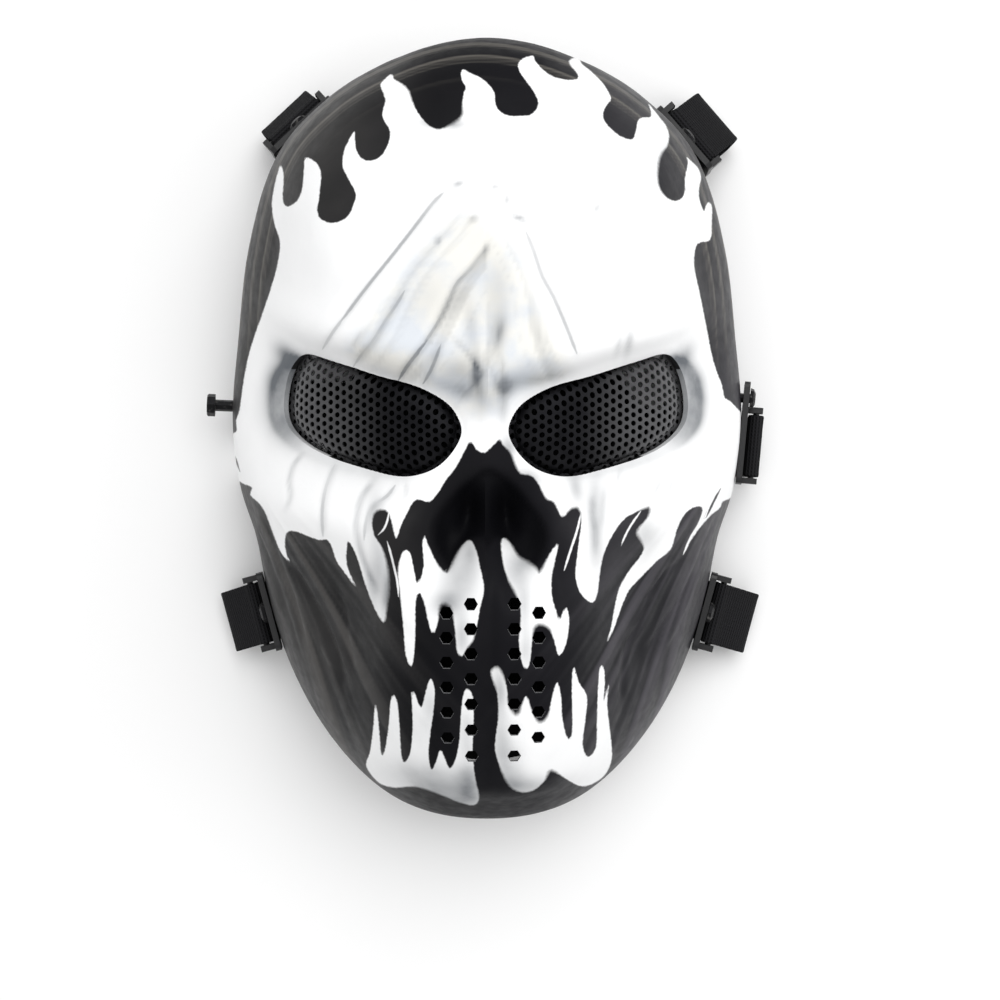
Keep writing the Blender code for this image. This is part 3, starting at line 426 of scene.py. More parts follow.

# Painted shade on the white, in the hollows, round the eye sockets and under the chin, with the
# paint's own airbrushed grey and blue at the soft edges of the drips: places in photograph
# pixels
SHADE_AND_AIRBRUSH = (
    # across, down, half width, half height, degrees, strength
    (286, 353, 14, 9, 40, 0.55),
    (272, 380, 7, 16, 8, 0.25),
    (686, 352, 13, 9, -40, 0.40),
    (700, 385, 7, 16, -8, 0.25),
    (458, 184, 6, 3, -20, 0.50),
    (519, 218, 8, 3, 22, 0.60),
    (507, 200, 3, 5, 0, 0.40),
    (495, 187, 4, 3, 0, 0.35),
    (473, 219, 5, 3, 0, 0.35),
    (438, 241, 3, 4, 0, 0.45),
    (597, 208, 3, 5, 20, 0.40),
    (486, 249, 3, 6, 10, 0.35),
    (619, 344, 3, 11, 14, 0.30),
    (629, 342, 4, 14, 10, 0.42),
    (455, 300, 8, 26, 36, 0.18),
    (425, 300, 16, 30, 30, 0.12),
    (472, 330, 7, 28, -6, 0.28),
    (499, 332, 8, 20, 8, 0.48),
    (498, 290, 13, 32, 0, 0.24),
    (461, 371, 20, 17, 30, 0.36),
    (478, 380, 5, 17, -10, 0.58),
    (452, 388, 26, 8, 16, 0.50),
    (520, 380, 26, 10, -8, 0.58),
    (506, 388, 10, 9, -12, 0.50),
    (552, 377, 26, 6, -14, 0.36),
    (385, 373, 24, 6, 15, 0.30),
    (487, 404, 16, 13, 0, 0.22),
    (430, 776, 50, 16, 8, 0.34),
    (512, 770, 12, 24, 0, 0.30),
    (550, 784, 34, 9, -6, 0.18),
    (420, 724, 40, 30, 0, 0.12),
    (503, 410, 5, 16, 0, 0.35),
    (462, 578, 22, 26, 0, 0.42),
    (447, 604, 14, 12, 0, 0.55),
    (470, 552, 8, 14, 0, 0.30),
    (516, 572, 14, 20, 0, 0.42),
    (530, 560, 12, 10, 0, 0.40),
    (524, 604, 8, 22, 0, 0.35),
    (526, 650, 7, 22, 0, 0.30),
    (462, 636, 8, 22, 0, 0.45),
    (378, 575, 11, 34, 10, 0.50),
    (388, 590, 5, 26, 6, 0.75),
    (375, 520, 8, 26, 0, 0.45),
    (596, 520, 9, 50, 0, 0.35),
    (576, 488, 7, 16, -10, 0.40),
    (645, 535, 12, 22, 0, 0.30),
    (445, 792, 40, 14, 14, 0.60),
    (470, 785, 14, 22, 0, 0.50),
    (430, 700, 8, 24, 0, 0.22),
    (467, 730, 8, 40, 0, 0.25),
    (516, 786, 24, 12, 0, 0.50),
    (502, 750, 10, 40, 0, 0.35),
    (500, 690, 7, 22, 0, 0.45),
    (430, 122, 12, 6, 0, 0.50),
    (452, 124, 12, 5, 0, 0.55),
    (664, 165, 9, 30, 0, 0.35),
    (508, 448, 8, 12, 0, 0.60),
    (530, 478, 12, 8, 30, 0.50),
)

# The aged, mottled triangle over the nose, as a closed edge in photograph pixels
AGED_PAINT = (
    (470, 205), (440, 222), (412, 250), (388, 282), (362, 316), (344, 345), (352, 362),
    (380, 376), (410, 388), (440, 400), (470, 420), (500, 418), (520, 398), (560, 382),
    (572, 368), (556, 328), (536, 290), (520, 250), (495, 222),
)

# Blurred stretches of the paint's edges
BLURS = (
    # across, down, half width, half height in pixels, blur in pixels
    (447, 605, 14, 12, 3.2),
    (455, 560, 16, 18, 2.4),
    (530, 566, 16, 14, 3.0),
    (520, 545, 16, 14, 2.4),
    (512, 592, 10, 14, 2.6),
    (541, 626, 14, 10, 3.0),
    (514, 712, 12, 10, 2.8),
    (540, 720, 14, 10, 2.6),
    (497, 672, 8, 16, 3.0),
    (549, 772, 12, 8, 2.8),
    (507, 780, 20, 14, 2.2),
    (440, 792, 50, 12, 1.6),
    (388, 585, 8, 40, 3.0),
    (376, 512, 10, 10, 2.0),
    (455, 118, 14, 14, 3.0),
    (408, 92, 16, 14, 1.8),
    (660, 160, 8, 26, 2.6),
    (575, 508, 10, 8, 2.4),
    (516, 460, 16, 18, 2.2),
    (545, 500, 16, 14, 1.8),
    (648, 510, 8, 8, 2.4),
    (640, 536, 10, 10, 3.0),
    (468, 640, 12, 16, 1.8),
    (568, 62, 12, 10, 1.4),
)


def eased(at, table, column):
    """A table's column as a smooth curve over its first column, flat at both ends."""
    knots = np.array([row[0] for row in table], float)
    values = np.array([row[column] for row in table], float)
    slopes = np.gradient(values, knots)
    slopes[0] = slopes[-1] = 0.0
    at = np.clip(at, knots[0], knots[-1])
    i = np.clip(np.searchsorted(knots, at, side="right") - 1, 0, len(knots) - 2)
    step = knots[i + 1] - knots[i]
    t = (at - knots[i]) / step
    rise = t * t * (3 - 2 * t)
    start = t * (1 - t) ** 2 * step * slopes[i]
    end = t * t * (t - 1) * step * slopes[i + 1]
    return values[i] + (values[i + 1] - values[i]) * rise + start + end


def smooth(t):
    """An ease from 0 to 1 as t goes from 0 to 1."""
    t = np.clip(t, 0, 1)
    return t * t * (3 - 2 * t)


def rounded_loop(corners, steps):
    """A closed smooth curve through the corners, as points with a number of steps to each."""
    b = np.array(corners, float)
    a, c, d = np.roll(b, 1, 0), np.roll(b, -1, 0), np.roll(b, -2, 0)
    t = (np.arange(steps) / steps)[None, :, None]
    a, b, c, d = (k[:, None, :] for k in (a, b, c, d))
    points = 0.5 * (2 * b + (c - a) * t + (2 * a - 5 * b + 4 * c - d) * t**2)
    points = points + 0.5 * (3 * b - a - 3 * c + d) * t**3
    return points.reshape(-1, b.shape[-1])


# The shell's form


def rim_point(degrees, side=1):
    """The rim's outer edge in a direction, seen from the front."""
    turn = np.radians(degrees)
    reach = eased(np.abs(degrees), OUTLINE, 1)
    return side * HALF_WIDTH * reach * np.sin(turn), HALF_HEIGHT * reach * np.cos(turn)


def rim_lift(turn):
    """Height of the rim over the surface, which the chin's part sweeps up from."""
    return CHIN_LIFT * eased(np.degrees(np.abs(turn)), OUTLINE, 2)


def gauge_of(x, y):
    """How far out a place is, from 0 in the middle to 1 at the rim, and its direction."""
    turn = np.arctan2(x / HALF_WIDTH, y / HALF_HEIGHT)
    reach = eased(np.degrees(np.abs(turn)), OUTLINE, 1)
    return np.hypot(x / HALF_WIDTH, y / HALF_HEIGHT) / reach, turn


def base_height(x, y):
    """Height of the plain dome over the surface."""
    gauge, turn = gauge_of(x, y)
    gauge = np.clip(gauge, 0, 1)
    lift = rim_lift(turn)
    front = FRONT_DEPTH * eased(y / HALF_HEIGHT, FRONT, 1)
    roundness = ROUND_ACROSS * np.sin(turn) ** 2 + ROUND_UP * np.cos(turn) ** 2
    roundness = roundness + ROUND_CROWN * np.maximum(np.cos(turn), 0) ** 3
    return lift + (front - lift) * (1 - gauge**roundness) ** (1 / ROUND_EDGE)


def base_frame(x, y):
    """Points of the plain dome and their outward normals, level at the rim."""
    gauge, _ = gauge_of(x, y)
    inside = np.minimum(1.0, NEAREST_RIM / np.maximum(gauge, 1e-9))
    step = SLOPE_STEP
    u, v = x * inside, y * inside
    slope_x = (base_height(u + step, v) - base_height(u - step, v)) / (2 * step)
    slope_y = (base_height(u, v + step) - base_height(u, v - step)) / (2 * step)
    normals = np.stack([-slope_x, -slope_y, np.ones_like(slope_x)], -1)
    normals[gauge > LEVEL_FROM, 2] = 0.0
    normals /= np.linalg.norm(normals, axis=-1, keepdims=True)
    return np.stack([x, y, base_height(x, y)], -1), normals


def eye_loop(steps=3):
    """The right eye opening's outline, seen along the dome's normals."""
    loop = rounded_loop(EYE_OUTLINE, steps)
    return loop * (EYE_HALF_WIDTH, EYE_HALF_HEIGHT) + (EYE_X, EYE_Y)


def eye_reach(turn):
    """Distance from the eye's middle to its outline in a direction."""
    loop = eye_loop(6) - (EYE_X, EYE_Y)
    angles = np.arctan2(loop[:, 1], loop[:, 0])
    order = np.argsort(angles)
    return np.interp(turn, angles[order], np.hypot(*loop.T)[order], period=2 * math.pi)


def from_eye(x, y):
    """The direction and distance from the nearer eye's middle."""
    u, v = np.abs(x) - EYE_X, y - EYE_Y
    return np.arctan2(v, u), np.hypot(u, v)


def eye_gauge(x, y):
    """0 in the middle of the nearer eye opening, 1 on its outline, more outside."""
    turn, away = from_eye(x, y)
    return away / eye_reach(turn)


def relief(x, y):
    """How far the face's main forms stand out of the plain dome, along its normal."""
    out = np.zeros_like(x)
    for across, along, long, short, degrees, height, sharp in FORMS:
        turn = math.radians(degrees)
        u = (np.abs(x) - across * HALF_WIDTH) / HALF_WIDTH
        v = (y - along * HALF_HEIGHT) / HALF_WIDTH
        p = (u * math.cos(turn) + v * math.sin(turn)) / long
        q = (v * math.cos(turn) - u * math.sin(turn)) / short
        out += RELIEF * height * np.exp(-(np.abs(p) ** sharp) - np.abs(q) ** sharp)
    socket = np.exp(-((np.maximum(eye_gauge(x, y) - 1.0, 0) / SOCKET_SPREAD) ** 2))
    out -= SOCKET_DEPTH * socket
    gauge, _ = gauge_of(x, y)
    return out * smooth((RELIEF_END - gauge) / RELIEF_FADE)


# The photograph's frame


def pixels_of(points):
    """Where points fall in the photograph."""
    depth = CAMERA[2] - points[:, 2]
    u = PHOTO_PIXELS / 2 + (points[:, 0] - CAMERA[0]) * FOCAL_PIXELS / depth
    v = PHOTO_PIXELS / 2 - (points[:, 1] - CAMERA[1]) * FOCAL_PIXELS / depth
    return np.stack([u, v], -1)


def distance_to_line(spots, line, closed):
    """Distance from each spot to a line of points."""
    line = np.array(line, float)
    ends = np.roll(line, -1, 0) if closed else line[1:]
    starts = line if closed else line[:-1]
    nearest = np.full(len(spots), np.inf)
    for start, end in zip(starts, ends):
        along = end - start
        share = np.clip((spots - start) @ along / max(along @ along, 1e-12), 0, 1)
        gap = spots - start - share[:, None] * along
        nearest = np.minimum(nearest, np.einsum("ij,ij->i", gap, gap))
    return np.sqrt(nearest)


def inside_loop(spots, loop):
    """Which spots are inside a closed loop."""
    inside = np.zeros(len(spots), bool)
    u, v = spots.T
    for (au, av), (bu, bv) in zip(loop, np.roll(loop, -1, 0)):
        crosses = (av > v) != (bv > v)
        if crosses.any():
            at = au + (v - av) * (bu - au) / (bv - av if bv != av else 1e-12)
            inside ^= crosses & (u < at)
    return inside


def depth_inside(spots, corners, far=30.0):
    """Distance inside a smooth closed edge, negative outside and no more than far away."""
    loop = rounded_loop(corners, 3)
    low, high = loop.min(0) - far, loop.max(0) + far
    near = ((spots > low) & (spots < high)).all(1)
    out = np.full(len(spots), -far)
    chosen = spots[near]
    distance = distance_to_line(chosen, loop, True)
    out[near] = np.where(inside_loop(chosen, loop), distance, -distance)
    return np.clip(out, -far, far)


def blob(spots, across, down, half_width, half_height, degrees=0.0):
    """A soft round spot, 1 in its middle."""
    turn = math.radians(degrees)
    u, v = spots[:, 0] - across, spots[:, 1] - down
    p = (u * math.cos(turn) + v * math.sin(turn)) / half_width
    q = (v * math.cos(turn) - u * math.sin(turn)) / half_height
    return np.exp(-p * p - q * q)


def open_curve(points, steps=3):
    """A smooth open curve through points."""
    points = np.array(points, float)
    first, last = 2 * points[0] - points[1], 2 * points[-1] - points[-2]
    loop = rounded_loop(np.vstack([first, points, last]), steps)
    return loop[steps : steps * len(points) + 1]


def line_strength(spots, points, half_width):
    """1 on a line and 0 well away from it, fading along its ends."""
    curve = open_curve(points)
    low, high = curve.min(0) - 4 * half_width, curve.max(0) + 4 * half_width
    near = ((spots > low) & (spots < high)).all(1)
    out = np.zeros(len(spots))
    chosen = spots[near]
    if len(chosen):
        distance = distance_to_line(chosen, curve, False)
        ends = np.minimum(*(np.hypot(*(chosen - curve[i]).T) for i in (0, -1)))
        fade = 0.25 + 0.75 * smooth(ends / (4 * half_width))
        out[near] = np.exp(-((distance / half_width) ** 2)) * fade
    return out


def waves(values, seed, octaves=4):
    """A repeatable rough wave over numbers, between about -1 and 1."""
    rng = np.random.default_rng(seed)
    out = np.zeros_like(values)
    for octave in range(octaves):
        pitch = 1.9**octave * rng.uniform(0.8, 1.2)
        out += np.sin(values * pitch + rng.uniform(0, 2 * math.pi)) * 0.62**octave
    return out / 2.0


def lumps(points, scale, seed):
    """Soft noise over points in space."""
    offset = Vector((seed * 7.1, seed * 3.7, seed * 5.3))
    return np.array([noise.noise(Vector(point) / scale + offset) for point in points])


def fibres(spots):
    """Raised strands that fan over the jaw from under each ear, and how strong they are."""
    out = np.zeros(len(spots))
    for across, down, side in FIBRE_ROOTS:
        u, v = side * (spots[:, 0] - across), spots[:, 1] - down
        turn = np.arctan2(u, v)
        reach = np.hypot(u, v)
        strands = waves(turn * 34 + 0.35 * np.sin(reach / 38) + reach / 160, 3 + side)
        fine = waves(turn * 95 + reach / 90, 8 + side)
        strong = smooth((reach - 60) / 60) * smooth((v - 30) / 60) * smooth((0.86 - turn) / 0.25)
        strong *= smooth((turn + 0.05) / 0.12) * smooth((430 - reach) / 120)
        out += strong * (0.75 * strands + 0.30 * fine)
    return out


def folds(spots):
    """Slanting folds of skin on the forehead, in waves either side of the nose's line."""
    u, v = spots[:, 0] - FOLDS_MIDDLE[0], spots[:, 1] - FOLDS_MIDDLE[1]
    slant = np.where(u < 0, u * 0.84 + v * 0.55, -u * 0.95 + v * 0.30)
    return waves(slant / 7.5 + 0.5 * np.sin(v / 21), 12, 5)


def carving(points, spots):
    """How far the fine carving stands out of the main forms, in metres."""
    out = np.zeros(len(spots))
    for depth, half_width, _, line in CREASES:
        out += depth * line_strength(spots, line, half_width)
    for *place, height in DENTS:
        out += height * blob(spots, *place)
    dark = smooth((spots[:, 1] - 470) / 60)
    out += 0.50 * fibres(spots) * dark
    out += 0.30 * folds(spots) * smooth((depth_inside(spots, AGED_PAINT) + 4) / 22)
    out += 0.22 * lumps(points, 0.016, 1) + 0.10 * lumps(points, 0.006, 2)
    out += vent_rims(points)
    return out * 0.001


def vent_places():
    """The middles of the vents, seen from the front."""
    for distance, top, count in VENT_COLUMNS:
        for side in (-1, 1):
            for row in range(count):
                drop = row * VENT_PITCH + row**3 * VENT_SPREAD
                yield VENT_MIDDLE + side * distance, top - drop


def vent_rims(points):
    """The vents' edges sink a little, in millimetres."""
    out = np.zeros(len(points))
    for x, y in vent_places():
        away = np.hypot(points[:, 0] - x, points[:, 1] - y) / (VENT_ACROSS_CORNERS / 2)
        out -= 0.30 * np.exp(-((np.maximum(away - 0.9, 0) / 0.35) ** 2))
    return out


def nose_depth(spots):
    """How far the nose cavity sinks below the main forms, in metres."""
    inside = depth_inside(spots, NOSE_EDGE)
    out = -3.2 * smooth((inside + 3) / 9)
    for *place, depth in NOSE_PITS:
        out += depth * blob(spots, *place)
    return out * 0.001


def rounded_edge(x, y):
    """How far the surface rolls in at an eye opening's edge, in metres."""
    reach = (eye_gauge(x, y) - 1) * EYE_HALF_HEIGHT
    return -ROLL_DEPTH * (1 - smooth(reach / ROLL_REACH))


def socket_shade(x, y):
    """Painted shade round the outer ends of the eye openings, where the sockets sink, and a
    little below them.
    """
    turn, away = from_eye(x, y)
    away = np.maximum(away - eye_reach(turn), 0)
    away /= np.where(x < 0, SOCKET_SHADE_REACH, 0.75 * SOCKET_SHADE_REACH)
    turn = np.degrees(turn)
    ends = smooth((turn + 50) / 55) * smooth((85 - turn) / 45)
    below = 0.35 * smooth((-turn - 5) / 30) * smooth((turn + 150) / 30)
    strength = np.exp(-(away**1.3)) + 0.45 * np.exp(-((away * 2.5) ** 2))
    return SOCKET_SHADE_STRENGTH * np.maximum(ends, below) * strength


def shell_face(a, b, depth, fine):
    """The shell's outer or inner face over a square whose edge becomes the rim."""
    p, q = a * np.sqrt(1 - b * b / 2), b * np.sqrt(1 - a * a / 2)
    out = np.clip(np.hypot(p, q), 0, 1)
    turn = np.arctan2(p, q)
    gauge = GRID_EVENNESS * out + (1 - GRID_EVENNESS) * np.sin(out * math.pi / 2)
    reach = eased(np.degrees(np.abs(turn)), OUTLINE, 1)
    x = HALF_WIDTH * reach * gauge * np.sin(turn)
    y = HALF_HEIGHT * reach * gauge * np.cos(turn)
    points, normals = base_frame(x, y)
    main = points + normals * relief(x, y)[:, None]
    spots = pixels_of(main)
    raised = nose_depth(spots)
    if fine:
        fade = smooth((CARVING_END - gauge) / CARVING_FADE)
        raised = raised + (carving(main, spots) + rounded_edge(x, y)) * fade
    placed = main + normals * (raised - depth)[:, None]
    edge = out > TRIMMED_FROM
    trim = RIM_TRIM * (1 - smooth(rim_lift(turn) / (2 * RIM_TRIM)))
    placed[edge, 2] -= trim[edge]
    return placed


# Objects


def linked(obj):
    """The object, now part of the scene."""
    bpy.context.scene.collection.objects.link(obj)
    return obj


def object_from(name, data, smooth_degrees=35):
    """An object from a bmesh, which is freed."""
    mesh = bpy.data.meshes.new(name)
    data.to_mesh(mesh)
    data.free()
    if smooth_degrees:
        mesh.shade_smooth()
        mesh.set_sharp_from_angle(angle=math.radians(smooth_degrees))
    return linked(bpy.data.objects.new(name, mesh))


def applied(obj):
    """The object with its modifiers made part of its mesh."""
    graph = bpy.context.evaluated_depsgraph_get()
    shape = bpy.data.meshes.new_from_object(obj.evaluated_get(graph))
    old = obj.data
    obj.modifiers.clear()
    obj.data = shape
    bpy.data.meshes.remove(old)
    return obj


def add_boolean(target, other, operation):
    """A modifier that joins another object to the target or takes it away."""
    modifier = target.modifiers.new(operation.lower(), "BOOLEAN")
    modifier.operation = operation
    modifier.solver = "EXACT"
    modifier.object = other


def cut(target, cutter):
    """Takes the cutter out of the target and deletes it."""
    add_boolean(target, cutter, "DIFFERENCE")
    applied(target)
    bpy.data.objects.remove(cutter)


def ring_skin(data, rings):
    """Joins closed rings of vertices, in order, with quads."""
    for first, second in zip(rings, rings[1:]):
        for i in range(len(first)):
            j = (i + 1) % len(first)
            data.faces.new((first[i], first[j], second[j], second[i]))


def add_plug(data, radius, length, place, sides):
    """A prism along a frame's Z axis, half of it on each side of its origin."""
    bmesh.ops.create_cone(
        data,
        cap_ends=True,
        segments=sides,
        radius1=radius,
        radius2=radius,
        depth=length,
        matrix=place,
    )


def add_box(data, low, high, place):
    """A box between two corners of a local frame."""
    made = bmesh.ops.create_cube(data, size=1.0)["verts"]
    low, high = Vector(low), Vector(high)
    bmesh.ops.scale(data, vec=high - low, verts=made)
    bmesh.ops.translate(data, vec=(low + high) / 2, verts=made)
    bmesh.ops.transform(data, matrix=place, verts=made)


def grid_ring(data, cells_across, cells_along, points):
    """A grid primitive moved onto points, and the vertices round its edge in order."""
    made = bmesh.ops.create_grid(data, x_segments=cells_across, y_segments=cells_along, size=1.0)
    verts = made["verts"]
    square = np.array([vertex.co for vertex in verts])
    for vertex, point in zip(verts, points(square[:, 0], square[:, 1])):
        vertex.co = point
    edge = np.abs(square[:, :2]).max(1) > 1 - 1e-6
    turns = np.arctan2(square[:, 1], square[:, 0])
    return [verts[i] for i in sorted(np.nonzero(edge)[0], key=lambda i: turns[i])]


def wall_frame(degrees, side, height):
    """The wall's frame at a height: X along the rim, Y out of the wall, Z up the wall."""
    gauge, farthest = WALL_SEARCH
    for _ in range(WALL_SEARCH_TURNS):
        x, y = (gauge * c for c in rim_point(degrees, side))
        over = (base_height(x, y) - height) / FRONT_DEPTH
        gauge += WALL_SEARCH_STEP * over * (farthest - gauge)
    point, normal = (a[0] for a in base_frame(np.array([x]), np.array([y])))
    out = Vector(normal)
    along = out.cross(Vector((0, 0, 1))).normalized()
    up = along.cross(out)
    return Matrix.Translation(Vector(point)) @ Matrix((along, out, up)).transposed().to_4x4()


def levelled(out):
    """A direction's level part, of length 1."""
    return Vector((out.x, out.y, 0)).normalized()


def local_points(node, place):
    """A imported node's vertices in a local frame."""
    inverse = place.inverted()
    return np.array([inverse @ vertex.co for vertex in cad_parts[node].data.vertices])


def bracket_frame(row):
    """A bracket's frame, with its origin at the foot of its plate's back."""
    name, side, degrees, _ = row
    place = wall_frame(degrees, side, PLATE_FOOT + PLATE_LENGTH / 2)
    seat = local_points(name, place)[:, 1].min()
    return place @ Matrix.Translation((0, seat, -PLATE_LENGTH / 2))


def screw_frames():
    """The frames of the screws and the stud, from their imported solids."""
    frames = []
    for row in BRACKETS:
        place = bracket_frame(row)
        spots = local_points(row[0].replace("bracket", "screw"), place)
        middle = (spots.min(0) + spots.max(0)) / 2
        frames.append((place @ Matrix.Translation((middle[0], 0, middle[2])), SCREW_HOLE))
    frames.append((wall_frame(STUD_DEGREES, STUD_SIDE, STUD_HEIGHT), STUD_HOLE))
    return frames


def floor_cutter():
    """Everything below the surface that the rim rests on, and the openings for the straps."""
    size = 2 * HALF_HEIGHT
    data = bmesh.new()
    add_box(data, (-size, -size, -size), (size, size, 0), Matrix.Identity(4))
    floor = object_from("floor_cutter", data, None)
    ends = [row[1:3] for row in BRACKETS] + [(STUD_SIDE, STUD_DEGREES)]
    for side, degrees in ends:
        x, y = rim_point(degrees, side)
        out = wall_frame(degrees, side, PLATE_FOOT).to_3x3().col[1]
        level = levelled(out)
        along = level.cross(Vector((0, 0, 1)))
        turn = Matrix((along, level, (0, 0, 1))).transposed().to_4x4()
        half = STRAP_WIDTH / 2 + STRAP_ARCH_MARGIN
        arch = bmesh.new()
        low = (-half, -STRAP_WIDTH / 2, -STRAP_ARCH)
        high = (half, STRAP_WIDTH / 2, STRAP_ARCH)
        add_box(arch, low, high, Matrix.Translation((x, y, 0)) @ turn)
        add_boolean(floor, object_from("arch", arch, None), "UNION")
    used = [modifier.object for modifier in floor.modifiers]
    applied(floor)
    for arch in used:
        bpy.data.objects.remove(arch)
    return floor


def openings_cutter():
    """Plugs through the eye openings, the vents and the fittings' holes."""
    data = bmesh.new()
    loop = eye_loop(8)
    points, normals = base_frame(loop[:, 0], loop[:, 1])
    for side in (-1, 1):
        rings = []
        for depth in (-3 * WALL, SOCKET_DEPTH + 3 * WALL):
            ring = (points - normals * depth) * (side, 1, 1)
            rings.append([data.verts.new(point) for point in ring])
        ring_skin(data, rings)
        for ring in rings:
            bmesh.ops.triangulate(data, faces=[data.faces.new(ring)])
    for x, y in vent_places():
        turn = Matrix.Rotation(math.pi / 6, 4, "Z")
        place = Matrix.Translation((x, y, FRONT_DEPTH)) @ turn
        add_plug(data, VENT_ACROSS_CORNERS / 2, FRONT_DEPTH, place, 6)
    for place, radius in screw_frames():
        add_plug(data, radius, 8 * WALL, place @ Matrix.Rotation(-math.pi / 2, 4, "X"), 24)
    bmesh.ops.recalc_face_normals(data, faces=data.faces)
    return object_from("openings", data, None)


def make_shell():
    """The sculpted shell, cut open and painted."""
    data = bmesh.new()
    outer = grid_ring(data, *OUTER_CELLS, lambda a, b: shell_face(a, b, 0.0, True))
    faces = set(data.faces)
    inner = grid_ring(data, *INNER_CELLS, lambda a, b: shell_face(a, b, WALL, False))
    bmesh.ops.reverse_faces(data, faces=[face for face in data.faces if face not in faces])
    half = len(inner)
    for i in range(half):
        a, b, c = (outer[(2 * i + k) % len(outer)] for k in range(3))
        near, far = inner[i], inner[(i + 1) % half]
        data.faces.new((a, b, near))
        data.faces.new((b, far, near))
        data.faces.new((b, c, far))
    bmesh.ops.recalc_face_normals(data, faces=data.faces)
    shell = object_from("painted_shell", data)
    cut(shell, floor_cutter())
    cut(shell, openings_cutter())
    shell.data.shade_smooth()
    shell.data.set_sharp_from_angle(angle=math.radians(42))
    shell.data.materials.clear()
    for material in (shell_material(), moulded_material(), vent_wall_highlight_material()):
        shell.data.materials.append(material)
    chart_paint(shell)
    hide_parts("shell")
    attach(shell, "root")


# Paint


def paint_depth(spots):
    """Distance inside the black paint in photograph pixels, negative on the white."""
    black = np.maximum(depth_inside(spots, CROWN_PAINT), depth_inside(spots, JAW_PAINT))
    for corners in WHITE_PAINT:
        black = np.minimum(black, -depth_inside(spots, corners))
    return black


def line_offsets(spots, curve):
    """Each spot's distance from a curve, its signed offset, and its place along the curve."""
    best = np.full(len(spots), np.inf)
    offset, place = np.zeros(len(spots)), np.zeros(len(spots))
    passed = 0.0
    for start, end in zip(curve, curve[1:]):
        length = np.hypot(*(end - start))
        ahead = (end - start) / length
        away = spots - start
        run = np.clip(away @ ahead, 0, length)
        gap = np.hypot(*(away - run[:, None] * ahead).T)
        nearer = gap < best
        best = np.where(nearer, gap, best)
        offset = np.where(nearer, ahead[0] * away[:, 1] - ahead[1] * away[:, 0], offset)
        place = np.where(nearer, passed + run, place)
        passed += length
    return best, offset, np.minimum(place, passed - place)


def drawn_lines(spots):
    """For each spot the nearest thin line: signed offset, half width, tone, and painted shade
    with grey.
    """
    rows = []
    for colour, width, line in PAINT_LINES:
        rows.append((width / 2, LINE_TONE if colour == "black" else -LINE_TONE, 0, line))
    for _, half_width, shade_and_grey, line in CREASES:
        if shade_and_grey >= LINE_SHADE_AND_GREY:
            rows.append((half_width / 2, 0, shade_and_grey, line))
    nearest = np.full(len(spots), LINE_GONE)
    out = np.zeros((4, len(spots)))
    out[1] = LINE_OFF
    for half, tone, shade_and_grey, points in rows:
        curve = open_curve(points)
        low, high = curve.min(0) - LINE_GONE, curve.max(0) + LINE_GONE
        chosen = np.nonzero(((spots > low) & (spots < high)).all(1))[0]
        gap, offset, end = line_offsets(spots[chosen], curve)
        past = np.sqrt(np.maximum(gap**2 - offset**2, 0))
        width = half * (0.3 + 0.7 * smooth(end / 10)) - past
        width += (LINE_OFF - width) * smooth((gap - LINE_KEPT) / (LINE_GONE - LINE_KEPT))
        closer = gap < nearest[chosen]
        here = chosen[closer]
        nearest[here] = gap[closer]
        out[0, here], out[1, here] = offset[closer], width[closer]
        out[2, here], out[3, here] = tone, shade_and_grey
    return out


def hidden_height(turn):
    """The height below which the dome's wall is out of the camera's sight, by direction."""
    turns = np.radians(np.arange(-180, 181, 2))[:, None]
    gauge = np.linspace(0.5, 1, 200)[None]
    reach = eased(np.degrees(np.abs(turns)), OUTLINE, 1) * gauge
    x, y = HALF_WIDTH * reach * np.sin(turns), HALF_HEIGHT * reach * np.cos(turns)
    z = base_height(x, y)
    spots = pixels_of(np.stack([x.ravel(), y.ravel(), z.ravel()], -1))
    middle = pixels_of(np.array([[0, 0, FRONT_DEPTH]]))
    farthest = np.hypot(*(spots - middle).T).reshape(z.shape).argmax(1)
    return np.interp(turn, turns[:, 0], z[np.arange(len(z)), farthest])


